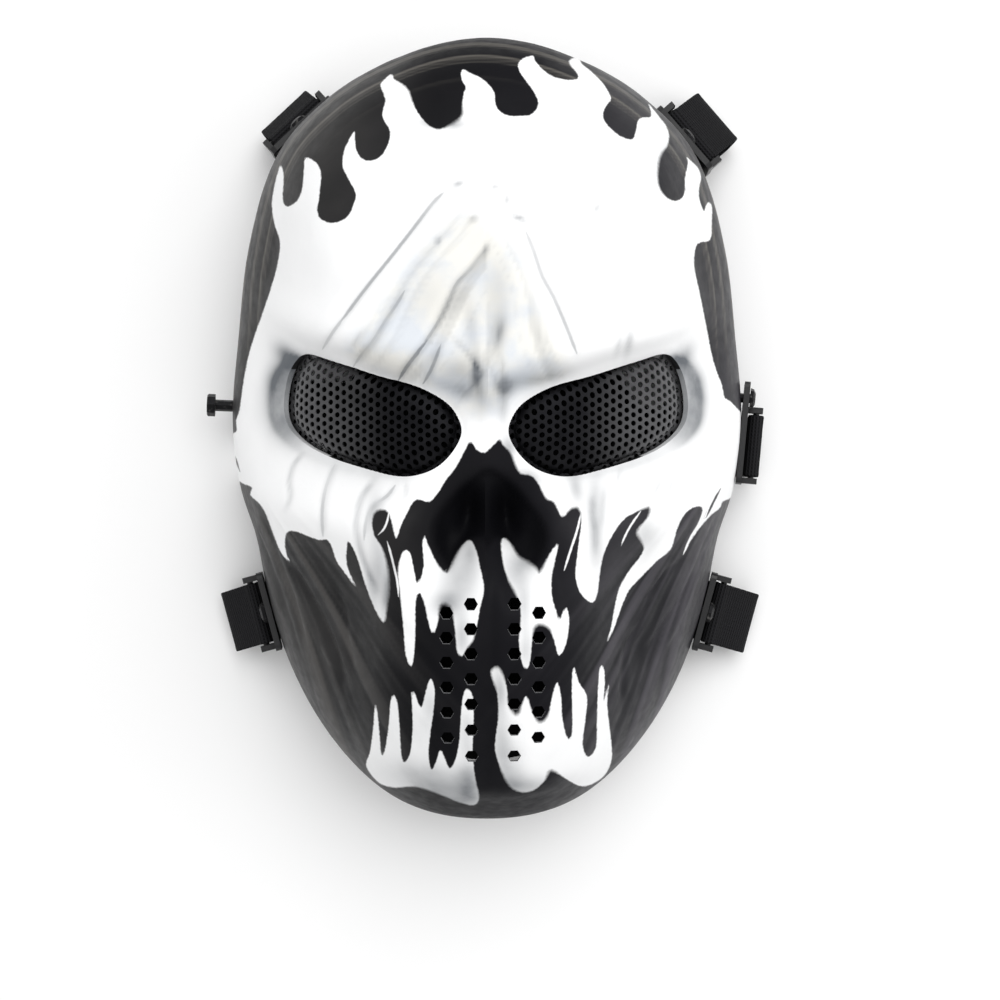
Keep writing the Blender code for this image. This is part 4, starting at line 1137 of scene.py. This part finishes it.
def chart_paint(shell):
    """Writes the paint's edges and blur, the painted shade with the airbrushed grey, the streaks
    with their painted highlights and the crown's painted sheen onto the shell's vertices.
    """
    mesh = shell.data
    points = np.empty(len(mesh.vertices) * 3)
    mesh.vertices.foreach_get("co", points)
    points = points.reshape(-1, 3)
    gauge, turn = gauge_of(points[:, 0], points[:, 1])
    seen = points.copy()
    seen[:, 2] = np.maximum(points[:, 2], hidden_height(turn))
    spots = pixels_of(seen)
    blur = np.full(len(spots), PLAIN_BLUR)
    for *place, amount in BLURS:
        blur = blur + (amount - PLAIN_BLUR) * blob(spots, *place)
    # Painted shade in the hollows, round the sockets and under the chin, with the paint's
    # airbrushed grey
    shade_and_airbrush = np.zeros(len(spots))
    for *place, strength in SHADE_AND_AIRBRUSH:
        shade_and_airbrush += strength * blob(spots, *place)
    # Painted shade, with the paint's grey, along the creases
    for _, half_width, shade_and_grey, line in CREASES:
        if shade_and_grey:
            share = LINE_UNDERTONE if shade_and_grey >= LINE_SHADE_AND_GREY else 1.0
            shade_and_airbrush += share * shade_and_grey * line_strength(spots, line, half_width)
    # Painted shade in the eye sockets
    shade_and_airbrush += socket_shade(points[:, 0], points[:, 1])
    aged = smooth((depth_inside(spots, AGED_PAINT) + 8) / 26)
    # Painted shade in the troughs of the forehead's folds
    shade_and_airbrush += 0.30 * aged * np.maximum(-folds(spots), 0)
    # A painted sheen along the crown's rim, in streaks
    sheen_band = smooth((gauge - 0.78) / 0.08) * smooth((1.0 - gauge) / 0.04)
    sheen_band *= smooth(points[:, 1] / 0.06)
    rim_sheen = sheen_band * waves(gauge * 95 + 0.6 * np.sin(turn * 3) + lumps(points, 0.05, 4), 5)
    looks = {
        "paint": paint_depth(spots),
        "blur": blur,
        "shade_and_airbrush": np.clip(shade_and_airbrush, 0, 1),
        "aged": aged,
        # The jaw's strands: brush streaks in the paint, with painted highlights along the raised
        # strands
        "streak_sheen": 0.5 + 0.5 * fibres(spots),
        "rim_sheen": 0.5 + 0.5 * rim_sheen,
        # Painted shade, darker the deeper the nose cavity sinks
        "nose_shade": smooth(-nose_depth(spots) / NOSE_SHADE_DEPTH),
        "side": points[:, 0] / HALF_WIDTH,
    }
    looks |= zip(("line", "line_width", "line_tone", "line_grey"), drawn_lines(spots))
    for name, values in looks.items():
        attribute = mesh.attributes.new(name, "FLOAT", "POINT")
        attribute.data.foreach_set("value", np.ascontiguousarray(values, np.float32))
    mark_bare_faces(mesh)


def mark_bare_faces(mesh):
    """Gives the inner face and the eye openings' walls the bare moulding, and the vents' walls
    a pale painted highlight."""
    count = len(mesh.polygons)
    centres, facing = np.empty(count * 3), np.empty(count * 3)
    mesh.polygons.foreach_get("center", centres)
    mesh.polygons.foreach_get("normal", facing)
    centres, facing = centres.reshape(-1, 3), facing.reshape(-1, 3)
    x, y = centres[:, 0], centres[:, 1]
    _, normals = base_frame(x, y)
    toward = (facing * normals).sum(1)
    gauge, _ = gauge_of(x, y)
    eye = np.abs(eye_gauge(x, y) - 1) < EYE_EDGE
    vent = np.zeros(count, bool)
    for across, along in vent_places():
        vent |= np.hypot(x - across, y - along) < VENT_ACROSS_CORNERS * VENT_MARGIN
    bare = (toward < INNER_TILT) | (eye & (toward < BARE_TILT))
    bare &= gauge < BARE_END
    # The vents' walls get a painted highlight
    vent_wall_highlight = vent & (np.abs(facing[:, 2]) < VENT_WALL_TILT)
    mesh.polygons.foreach_set("material_index", np.where(vent_wall_highlight, 2, bare).astype(np.int32))


# Materials


class Nodes:
    """A short way to write a material's nodes."""

    def __init__(self, name):
        self.material = bpy.data.materials.new(name)
        self.material.use_nodes = True
        self.tree = self.material.node_tree
        self.tree.nodes.clear()
        self.shader = self.add("ShaderNodeBsdfPrincipled")
        output = self.add("ShaderNodeOutputMaterial")
        self.tree.links.new(self.shader.outputs[0], output.inputs["Surface"])

    def add(self, kind, **settings):
        """A new node with its settings."""
        node = self.tree.nodes.new(kind)
        for key, value in settings.items():
            setattr(node, key, value)
        return node

    def put(self, socket, value):
        """Links a socket to an output, or sets its value."""
        if isinstance(value, bpy.types.NodeSocket):
            self.tree.links.new(value, socket)
        else:
            socket.default_value = value

    def attribute(self, name):
        """A number charted on the vertices."""
        return self.add("ShaderNodeAttribute", attribute_name=name).outputs["Fac"]

    def math(self, operation, *values):
        """A sum of outputs and numbers."""
        node = self.add("ShaderNodeMath", operation=operation)
        for socket, value in zip(node.inputs, values):
            self.put(socket, value)
        return node.outputs[0]

    def times(self, first, second):
        """The product."""
        return self.math("MULTIPLY", first, second)

    def plus(self, first, second):
        """The total."""
        return self.math("ADD", first, second)

    def size(self, value):
        """The value without its sign."""
        return self.math("ABSOLUTE", value)

    def range(self, value, low, high, to_low=0.0, to_high=1.0):
        """An ease between two levels of a value."""
        node = self.add("ShaderNodeMapRange", interpolation_type="SMOOTHSTEP")
        for socket, given in zip(node.inputs, (value, low, high, to_low, to_high)):
            self.put(socket, given)
        return node.outputs[0]

    def mix(self, share, first, second):
        """From the first colour to the second."""
        node = self.add("ShaderNodeMix", data_type="RGBA")
        colours = [socket for socket in node.inputs if socket.type == "RGBA"]
        self.put(node.inputs[0], share)
        self.put(colours[0], first)
        self.put(colours[1], second)
        return [socket for socket in node.outputs if socket.type == "RGBA"][0]

    def place(self):
        """The place in the object's own metres."""
        return self.add("ShaderNodeTexCoord").outputs["Object"]

    def parts(self, vector):
        """A vector's three parts."""
        node = self.add("ShaderNodeSeparateXYZ")
        self.put(node.inputs[0], vector)
        return node.outputs

    def noise(self, scale, detail):
        """Cloudy noise with a number of lumps to the metre."""
        node = self.add("ShaderNodeTexNoise")
        self.put(node.inputs["Vector"], self.place())
        node.inputs["Scale"].default_value = scale
        node.inputs["Detail"].default_value = detail
        return node.outputs["Fac"]

    def bump(self, height, distance, strength, normal=None):
        """A normal that a height tilts, over another normal if it is given."""
        node = self.add("ShaderNodeBump")
        self.put(node.inputs["Height"], height)
        node.inputs["Distance"].default_value = distance
        node.inputs["Strength"].default_value = strength
        if normal is not None:
            self.put(node.inputs["Normal"], normal)
        return node.outputs[0]

    def finish(self, **values):
        """The material, with the shader's sockets set by name, as in base_color."""
        for name, value in values.items():
            socket = name.replace("_", " ").title().replace("Ior", "IOR")
            self.put(self.shader.inputs[socket], value)
        return self.material


def shell_material():
    """White and black paint, parted along the charted edge."""
    nodes = Nodes("painted_shell")
    speckle, patch, broad = nodes.noise(260, 5), nodes.noise(60, 5), nodes.noise(22, 4)
    ragged = nodes.times(nodes.math("SUBTRACT", nodes.noise(900, 3), 0.5), 1.6)

    # How black a place is: the charted edge, and then the thin lines on it
    blur = nodes.attribute("blur")
    edge = nodes.plus(nodes.attribute("paint"), ragged)
    black = nodes.range(edge, nodes.times(blur, -1.0), blur)
    offset = nodes.size(nodes.attribute("line"))
    inside = nodes.math("SUBTRACT", nodes.attribute("line_width"), offset)
    inside = nodes.plus(inside, nodes.times(ragged, 0.5))
    tone = nodes.attribute("line_tone")
    drawn = nodes.times(nodes.range(inside, -0.6, 0.6), nodes.range(nodes.size(tone), 0, 1))
    black = nodes.math("SUBTRACT", black, nodes.times(drawn, black))
    black = nodes.plus(black, nodes.times(drawn, nodes.range(tone, -1.0, 1.0)))

    # White, aged over the nose, with painted shade in the creases, the hollows, the eye sockets
    # and under the chin, and the paint's airbrushed grey
    white = nodes.mix(patch, (0.88, 0.885, 0.89, 1), (0.92, 0.922, 0.925, 1))
    mottled = nodes.range(patch, 0.35, 0.62)
    aged = nodes.mix(mottled, (0.66, 0.69, 0.73, 1), (0.80, 0.79, 0.75, 1))
    white = nodes.mix(nodes.attribute("aged"), white, aged)
    # Painted shade along the creases
    crease_shade = nodes.times(nodes.range(inside, -1.4, 0.9), nodes.attribute("line_grey"))
    crease_shade = nodes.times(crease_shade, nodes.range(broad, 0.3, 0.6, 0.6, 1.2))
    # Painted shade and airbrushed grey, patchy
    shade_and_airbrush = nodes.times(nodes.attribute("shade_and_airbrush"), nodes.range(patch, 0.3, 0.7, 0.8, 1.15))
    shade_and_grey = nodes.math("MINIMUM", nodes.math("MAXIMUM", shade_and_airbrush, crease_shade), 1.0)
    white = nodes.mix(shade_and_grey, white, (0.115, 0.126, 0.14, 1))

    # Black, paler in painted highlights: along the jaw's strands, with the paint's streaks,
    # towards the sides where the light falls, and in a painted sheen along the crown's rim
    # Painted highlights along the strands, with the paint's streaks
    streak_sheen = nodes.times(nodes.range(nodes.attribute("streak_sheen"), 0.35, 0.95), 0.8)
    clouds = nodes.times(nodes.range(broad, 0.35, 0.75), 0.3)
    side = nodes.attribute("side")
    # Painted light: the black is paler towards the sides, where the side light falls, and
    # reflects less in the middle
    outer = nodes.range(nodes.size(side), 0.15, 0.5, 0.2, 1.0)
    lit_and_uneven = nodes.times(nodes.plus(streak_sheen, clouds), outer)
    warm = nodes.mix(lit_and_uneven, (0.005, 0.005, 0.006, 1), (0.062, 0.059, 0.057, 1))
    cool = nodes.mix(lit_and_uneven, (0.006, 0.006, 0.008, 1), (0.068, 0.064, 0.074, 1))
    dark = nodes.mix(nodes.range(side, -0.5, 0.5), warm, cool)
    # Painted sheen along the crown's rim
    rim_sheen = nodes.range(nodes.attribute("rim_sheen"), 0.5, 0.95)
    dark = nodes.mix(rim_sheen, dark, (0.12, 0.112, 0.10, 1))
    # Painted shade in the nose cavity
    dark = nodes.mix(nodes.attribute("nose_shade"), dark, (0.004, 0.004, 0.005, 1))

    worn = nodes.plus(speckle, nodes.times(streak_sheen, 0.3))
    grain = nodes.bump(speckle, 0.00012, 0.5)
    return nodes.finish(
        base_color=nodes.mix(black, white, dark),
        roughness=nodes.range(worn, 0.2, 1.0, 0.40, 0.58),
        specular_ior_level=nodes.times(outer, 0.21),
        normal=nodes.bump(nodes.noise(620, 2), 0.00008, 0.4, grain),
    )


def plain_material(name, patches, dark, light, spread=None, worn=None, grain=None, **sockets):
    """Two tones in patches, with their spread, uneven roughness and grain if given."""
    nodes = Nodes(name)
    patch = nodes.noise(*patches)
    share = nodes.range(patch, *spread) if spread else patch
    if worn:
        sockets["roughness"] = nodes.range(patch, 0.2, 0.8, *worn)
    if grain:
        scale, height, strength = grain
        sockets["normal"] = nodes.bump(nodes.noise(scale, 2), height, strength)
    return nodes.finish(base_color=nodes.mix(share, (*dark, 1), (*light, 1)), **sockets)


def moulded_material():
    """The bare black plastic of the shell's inside."""
    tones = (0.006, 0.006, 0.007), (0.014, 0.014, 0.015)
    grain = (1200, 0.00008, 0.5)
    sockets = {"roughness": 0.6, "specular_ior_level": 0.3}
    return plain_material("bare_moulding", (90, 4), *tones, grain=grain, **sockets)


def vent_wall_highlight_material():
    """A pale painted highlight on the vents' walls, where they are cut through the plastic."""
    tones = (0.26, 0.26, 0.27), (0.42, 0.42, 0.43)
    grain = (1800, 0.00006, 0.5)
    return plain_material("vent_wall_highlight", (500, 4), *tones, grain=grain, roughness=0.55)


def screen_material():
    """Blackened sheet steel, with painted light: paler towards the eyes' outer ends, where the
    side light falls.
    """
    nodes = Nodes("screen_steel")
    worn = nodes.noise(180, 5)
    # Painted light on the outer halves of the screens
    outer = nodes.range(nodes.size(nodes.parts(nodes.place())[0]), 0.030, 0.062)
    plain_steel = nodes.mix(worn, (0.004, 0.004, 0.005, 1), (0.020, 0.020, 0.022, 1))
    lit_steel = nodes.mix(worn, (0.05, 0.05, 0.053, 1), (0.12, 0.12, 0.125, 1))
    return nodes.finish(
        base_color=nodes.mix(outer, plain_steel, lit_steel),
        roughness=nodes.range(worn, 0.2, 0.8, 0.34, 0.55),
        specular_ior_level=nodes.times(outer, 0.4),
        normal=nodes.bump(nodes.noise(1500, 3), 0.00005, 0.6),
        metallic=0.6,
    )


def plastic_material():
    """The brackets' black plastic."""
    tones = (0.004, 0.004, 0.005), (0.012, 0.012, 0.013)
    finish = {"worn": (0.28, 0.46), "grain": (2400, 0.00006, 0.6)}
    return plain_material("moulded_plastic", (120, 4), *tones, **finish, specular_ior_level=0.35)


def metal_material():
    """The screws' blackened steel, rubbed bare in spots."""
    tones = (0.010, 0.010, 0.011), (0.10, 0.097, 0.094)
    finish = {"spread": (0.55, 0.75), "worn": (0.25, 0.5), "grain": (1800, 0.00004, 0.5)}
    return plain_material("blackened_steel", (400, 5), *tones, **finish, metallic=0.9)


def webbing_material():
    """Woven elastic: ribs across the strap and rubber threads along it."""
    nodes = Nodes("woven_elastic")
    along, across, _ = nodes.parts(nodes.add("ShaderNodeUVMap").outputs[0])
    rib = nodes.math("SINE", nodes.times(along, 2 * math.pi / STRAP_RIB))
    thread = nodes.math("SINE", nodes.times(across, 2 * math.pi / STRAP_THREAD))
    height = nodes.plus(nodes.times(rib, 0.6), nodes.times(nodes.times(rib, thread), 0.5))
    fuzz = nodes.noise(2200, 4)
    raised = nodes.range(nodes.plus(height, fuzz), -0.6, 1.6)
    return nodes.finish(
        base_color=nodes.mix(raised, (0.003, 0.003, 0.0035, 1), (0.018, 0.018, 0.020, 1)),
        normal=nodes.bump(nodes.plus(height, nodes.times(fuzz, 0.6)), 0.00022, 0.9),
        roughness=0.82,
        specular_ior_level=0.12,
    )


def floor_material():
    """A plain pale floor."""
    return plain_material("pale_floor", (3, 2), (0.90,) * 3, (0.93,) * 3, roughness=0.7)


def shade_card_material():
    """The black of the card that stands in for the shade under the mask."""
    sockets = {"specular_ior_level": 0.05}
    return plain_material("shade_card_black", (900, 3), (0.002,) * 3, (0.006,) * 3, **sockets)


# Eye screens

SCREEN_HOLE = 0.00190
SCREEN_ROW = 0.00292
SCREEN_COLUMN = 0.00253
SCREEN_SHEET = 0.0005
SCREEN_FLANGE = 0.0036
SCREEN_CLEARANCE = 0.0017
SCREEN_RISE = 0.0052
SCREEN_SHOULDER = 0.0090
SCREEN_SEAT = 0.0014
SCREEN_SIDES = 12
SCREEN_WELD = 2e-5


def screen_rise(x, y):
    """How far a screen's dome stands out of its flange."""
    inside = (1 - eye_gauge(x, y)) * EYE_HALF_HEIGHT - SCREEN_CLEARANCE
    climb = np.clip(inside / SCREEN_SHOULDER, 0, 1)
    return SCREEN_RISE * np.sqrt(1 - (1 - climb) ** 2)


def make_screen(name, side, material):
    """A perforated sheet of six-sided cells, each with a round hole, pressed into a dome."""
    data = bmesh.new()
    limit_x = EYE_HALF_WIDTH + SCREEN_FLANGE + SCREEN_ROW
    limit_y = EYE_HALF_HEIGHT + SCREEN_FLANGE + SCREEN_ROW
    columns, rows = int(limit_x / SCREEN_COLUMN) + 1, int(limit_y / SCREEN_ROW) + 1
    for i in range(-columns, columns + 1):
        for j in range(-rows, rows + 1):
            middle = (EYE_X + i * SCREEN_COLUMN, EYE_Y + (j + (i % 2) / 2) * SCREEN_ROW)
            add_cell(data, *middle)
    bmesh.ops.remove_doubles(data, verts=data.verts, dist=SCREEN_WELD)
    bmesh.ops.dissolve_degenerate(data, edges=data.edges, dist=1e-6)
    places = np.array([vertex.co for vertex in data.verts])
    x, y = places[:, 0], places[:, 1]
    u, v = x - EYE_X, y - EYE_Y
    turn = np.arctan2(v, u)
    most = eye_reach(turn) + SCREEN_FLANGE
    shrink = np.minimum(1, most / np.maximum(np.hypot(u, v), 1e-9))
    x, y = EYE_X + u * shrink, EYE_Y + v * shrink
    points, normals = base_frame(x, y)
    lift = relief(x, y) - WALL - SCREEN_SEAT + screen_rise(x, y)
    placed = (points + normals * lift[:, None]) * (side, 1, 1)
    for vertex, point in zip(data.verts, placed):
        vertex.co = point
    bmesh.ops.remove_doubles(data, verts=data.verts, dist=SCREEN_WELD)
    bmesh.ops.dissolve_degenerate(data, edges=data.edges, dist=SCREEN_WELD)
    if side < 0:
        bmesh.ops.reverse_faces(data, faces=data.faces)
    screen = object_from(f"{name}_perforated", data, None)
    solidify = screen.modifiers.new("sheet", "SOLIDIFY")
    solidify.thickness = SCREEN_SHEET
    solidify.offset = -1
    applied(screen)
    screen.data.shade_smooth()
    screen.data.set_sharp_from_angle(angle=math.radians(40))
    screen.data.materials.append(material)
    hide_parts(name)
    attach(screen, "root")


def add_cell(data, x, y):
    """One six-sided cell, pierced where the screen is open."""
    far = eye_gauge(np.array([x]), np.array([y]))[0]
    if (far - 1) * EYE_HALF_HEIGHT > SCREEN_FLANGE + 1.5 * SCREEN_ROW:
        return
    corner, hole = SCREEN_ROW / math.sqrt(3), SCREEN_HOLE / 2
    outer, inner = [], []
    for k in range(SCREEN_SIDES):
        turn = 2 * math.pi * k / SCREEN_SIDES
        edge = corner * (1.0 if k % 2 == 0 else math.cos(math.pi / 6))
        for ring, reach in ((outer, edge), (inner, hole)):
            spot = (x + reach * math.cos(turn), y + reach * math.sin(turn), 0)
            ring.append(data.verts.new(spot))
    ring_skin(data, [inner, outer])
    if far > 1.0 + 0.25 * SCREEN_ROW / EYE_HALF_HEIGHT:
        data.faces.new(inner)


# Straps


def bracket_path(row, place):
    """A strap's line at a bracket, from its tail to the floor inside the rim."""
    _, side, degrees, bulge = row
    offset = PLATE_THICKNESS + 2 * GAP + STRAP_THICKNESS + BAR_RADIUS
    bar = place @ Vector((0, offset, BAR_HEIGHT))
    turn = place.to_3x3()
    along, out, up = turn.col[0], turn.col[1], turn.col[2]
    level = levelled(out)
    rim = Vector((*rim_point(degrees, side), 0))
    wrap = BAR_RADIUS + GAP + STRAP_THICKNESS / 2
    inner = bar - out * wrap
    drop = (inner.z - STRAP_TAIL_HEIGHT) / up.z
    points = [inner - up * drop, inner - up * drop / 2]
    for degrees_round in (180, 135, 90, 45, 0):
        a = math.radians(degrees_round)
        points.append(bar + out * wrap * math.cos(a) + up * wrap * math.sin(a))
    rest = STRAP_THICKNESS / 2
    reach = max(bulge, (points[-1] - rim).dot(level) + STRAP_THICKNESS / 2) - rest
    points.append(rim + level * reach + Vector((0, 0, bar.z * STRAP_LOOP_MIDDLE)))
    for back, height in STRAP_LOOP:
        points.append(rim + level * (reach - back) + Vector((0, 0, rest + height)))
    for back in STRAP_INSIDE_RIM:
        points.append(rim - level * back + Vector((0, 0, rest)))
    return points, along, level


def crossing(start, start_level, end, end_level, fold):
    """A strap's line over the floor between its ends, with a slack fold in the middle."""
    pull = (end - start).length * CROSSING_PULL
    controls = (start, start - start_level * pull, end - end_level * pull, end)
    points = []
    for i in range(1, CROSSING_POINTS):
        t = i / CROSSING_POINTS
        weights = ((1 - t) ** 3, 3 * t * (1 - t) ** 2, 3 * t * t * (1 - t), t**3)
        point = sum((c * w for c, w in zip(controls, weights)), Vector())
        rise = math.sin(math.pi * smooth((t - FOLD_FROM) / FOLD_SPAN))
        point.z = start.z + fold * rise**2
        points.append(point)
    return points


def stud_end_path():
    """The middle strap's left end: up the inside of the wall to the stud."""
    place = wall_frame(STUD_DEGREES, STUD_SIDE, STUD_HEIGHT)
    spots = local_points("middle_strap", place)
    top = spots[np.abs(spots[:, 2]) < STUD_HEAD_RADIUS * 2]
    reach = top[top[:, 1] > -0.02][:, 1].max()
    turn = place.to_3x3()
    out, up = turn.col[1], turn.col[2]
    level = levelled(out)
    head = place @ Vector((0, reach - STRAP_THICKNESS / 2, 0))
    rest = STRAP_THICKNESS / 2
    foot = head - up * ((head.z - rest) / up.z)
    points = [foot - level * back + Vector((0, 0, height)) for back, height in STRAP_UP_WALL]
    points += [foot + up * STRAP_WALL_RISE, head, head + up * STUD_HEAD_RADIUS * STRAP_END]
    return points, turn.col[0], level


def strap_across(line, i, start, end):
    """The strap's width direction at a point: the bracket's near its ends, else level."""
    ahead = line[min(i + 1, len(line) - 1)] - line[max(i - 1, 0)]
    across = Vector((-ahead.y, ahead.x, 0))
    for place, level, along in (start, end):
        if (line[i] - place).dot(level) > -1e-6:
            across = along
            break
    across = (across - ahead * across.dot(ahead) / ahead.length_squared).normalized()
    return -across if across.y < 0 else across


def make_strap(row, frames, material):
    """Elastic webbing with thick edges, laid along its line."""
    name, right, left, fold = row
    rows = {bracket[0]: bracket for bracket in BRACKETS}
    first, first_along, first_level = bracket_path(rows[right], frames[right])
    if left:
        last, last_along, last_level = bracket_path(rows[left], frames[left])
        last = last[::-1]
    else:
        last, last_along, last_level = stud_end_path()
    middle = crossing(first[-1], first_level, last[0], last_level, fold)
    curve = open_curve([tuple(point) for point in first + middle + last], 10)
    lengths = np.concatenate([[0], np.cumsum(np.linalg.norm(np.diff(curve, axis=0), axis=1))])
    count = int(lengths[-1] / STRAP_STEP)
    even = np.linspace(0, lengths[-1], count + 1)
    line = [Vector([np.interp(s, lengths, curve[:, k]) for k in range(3)]) for s in even]
    ends = (first[-1], first_level, first_along), (last[0], last_level, last_along)
    acrosses = [strap_across(line, i, *ends) for i in range(len(line))]
    profile = strap_profile()
    data = bmesh.new()
    uv = data.loops.layers.uv.new("UVMap")
    rings = []
    for i, point in enumerate(line):
        ahead = line[min(i + 1, count)] - line[max(i - 1, 0)]
        face = ahead.normalized().cross(acrosses[i])
        ring = []
        for side, lift in profile:
            spot = point + acrosses[i] * side + face * lift
            spot.z = max(spot.z, STRAP_OVER_FLOOR)
            ring.append(data.verts.new(spot))
        rings.append(ring)
    for i in range(count):
        for k in range(len(profile)):
            m = (k + 1) % len(profile)
            made = data.faces.new((rings[i][k], rings[i][m], rings[i + 1][m], rings[i + 1][k]))
            for loop, (n, j) in zip(made.loops, ((i, k), (i, m), (i + 1, m), (i + 1, k))):
                loop[uv].uv = (even[n], profile[j][0])
    data.faces.new(rings[0])
    data.faces.new(rings[-1])
    bmesh.ops.recalc_face_normals(data, faces=data.faces)
    strap = object_from(f"{name}_webbing", data, 60)
    strap.data.materials.append(material)
    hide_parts(name)
    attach(strap, "root")


def strap_profile():
    """The webbing's section: flat faces between rounded, slightly thicker edges."""
    half, thick = STRAP_WIDTH / 2 - 0.0001, STRAP_THICKNESS / 2 - 0.00008
    top = [(half * across, thick * lift) for across, lift in STRAP_PROFILE]
    top += [(-side, lift) for side, lift in top[-2::-1]]
    return top + [(side, -lift) for side, lift in top[::-1]]


# Fittings


def dress_node(name, material, bevel):
    """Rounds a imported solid's edges and gives it its material."""
    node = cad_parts[name]
    node.data.materials.clear()
    node.data.materials.append(material)
    modifier = node.modifiers.new("soft_edges", "BEVEL")
    modifier.width = bevel
    modifier.segments = 2
    modifier.limit_method = "ANGLE"
    modifier.angle_limit = math.radians(40)


# Floor, light and camera


SKY_AT_HORIZON, SKY_OVERHEAD = 0.62, 0.98
# The black card that stands in for the shade under the mask
CARD_MIDDLE, CARD_RADII = (0.000, -0.035), (0.068, 0.095)
LIGHTS = (
    # name, place, size, watts
    ("key", (0.25, 0.55, 1.10), 0.9, 6.5),
    ("right", (0.80, 0.05, 0.55), 0.5, 1.2),
)


def make_stage():
    """The floor, the black card that stands in for the shade under the mask, the sky and the
    lamps.
    """
    data = bmesh.new()
    bmesh.ops.create_grid(data, x_segments=1, y_segments=1, size=3.0)
    floor = object_from("studio_floor", data, None)
    floor.location.z = -0.0002
    floor.data.materials.append(floor_material())
    make_shade_card()
    make_sky()
    for name, place, size, power in LIGHTS:
        light = bpy.data.lights.new(name, "AREA")
        light.size = size
        light.energy = power
        lamp = linked(bpy.data.objects.new(name, light))
        lamp.location = place
        aim = Vector((0, 0, 0.03)) - lamp.location
        lamp.rotation_euler = aim.to_track_quat("-Z", "Y").to_euler()


def make_shade_card():
    """A round black card on the floor under the mask, standing in for the shade inside it, that
    keeps its openings dark.
    """
    data = bmesh.new()
    bmesh.ops.create_circle(data, cap_ends=True, segments=64, radius=1.0)
    card = object_from("shade_card", data, None)
    card.location = (*CARD_MIDDLE, -0.0001)
    card.scale = (*CARD_RADII, 1)
    card.data.materials.append(shade_card_material())
    return card


def make_sky():
    """Soft light from all round, brightest overhead."""
    world = bpy.data.worlds.new("studio")
    bpy.context.scene.world = world
    world.use_nodes = True
    tree = world.node_tree
    direction = tree.nodes.new("ShaderNodeTexCoord").outputs["Generated"]
    parts = tree.nodes.new("ShaderNodeSeparateXYZ")
    climb = tree.nodes.new("ShaderNodeMapRange")
    tree.links.new(direction, parts.inputs[0])
    tree.links.new(parts.outputs["Z"], climb.inputs["Value"])
    climb.inputs["To Min"].default_value = SKY_AT_HORIZON
    climb.inputs["To Max"].default_value = SKY_OVERHEAD
    tree.links.new(climb.outputs["Result"], tree.nodes["Background"].inputs["Strength"])
    tree.nodes["Background"].inputs["Color"].default_value = (1, 1, 1, 1)


def make_camera():
    """The camera over the face, level with the photograph's."""
    camera = bpy.data.cameras.new("camera")
    camera.sensor_width = SENSOR_MM
    camera.lens = FOCAL_PIXELS / PHOTO_PIXELS * SENSOR_MM
    camera.clip_start = 0.01
    holder = linked(bpy.data.objects.new("camera", camera))
    holder.location = CAMERA
    bpy.context.scene.camera = holder


def main():
    """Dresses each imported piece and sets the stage."""
    bpy.context.scene.view_settings.view_transform = "Standard"
    make_shell()
    screen = screen_material()
    for name, side in (("eye_screen_left", -1), ("eye_screen_right", 1)):
        make_screen(name, side, screen)
    plastic, metal, webbing = plastic_material(), metal_material(), webbing_material()
    frames = {row[0]: bracket_frame(row) for row in BRACKETS}
    for row in STRAPS:
        make_strap(row, frames, webbing)
    for row in BRACKETS:
        dress_node(row[0], plastic, PLATE_BEVEL)
        dress_node(row[0].replace("bracket", "screw"), metal, SCREW_BEVEL)
    dress_node("middle_left_stud", metal, SCREW_BEVEL)
    make_stage()
    make_camera()


main()
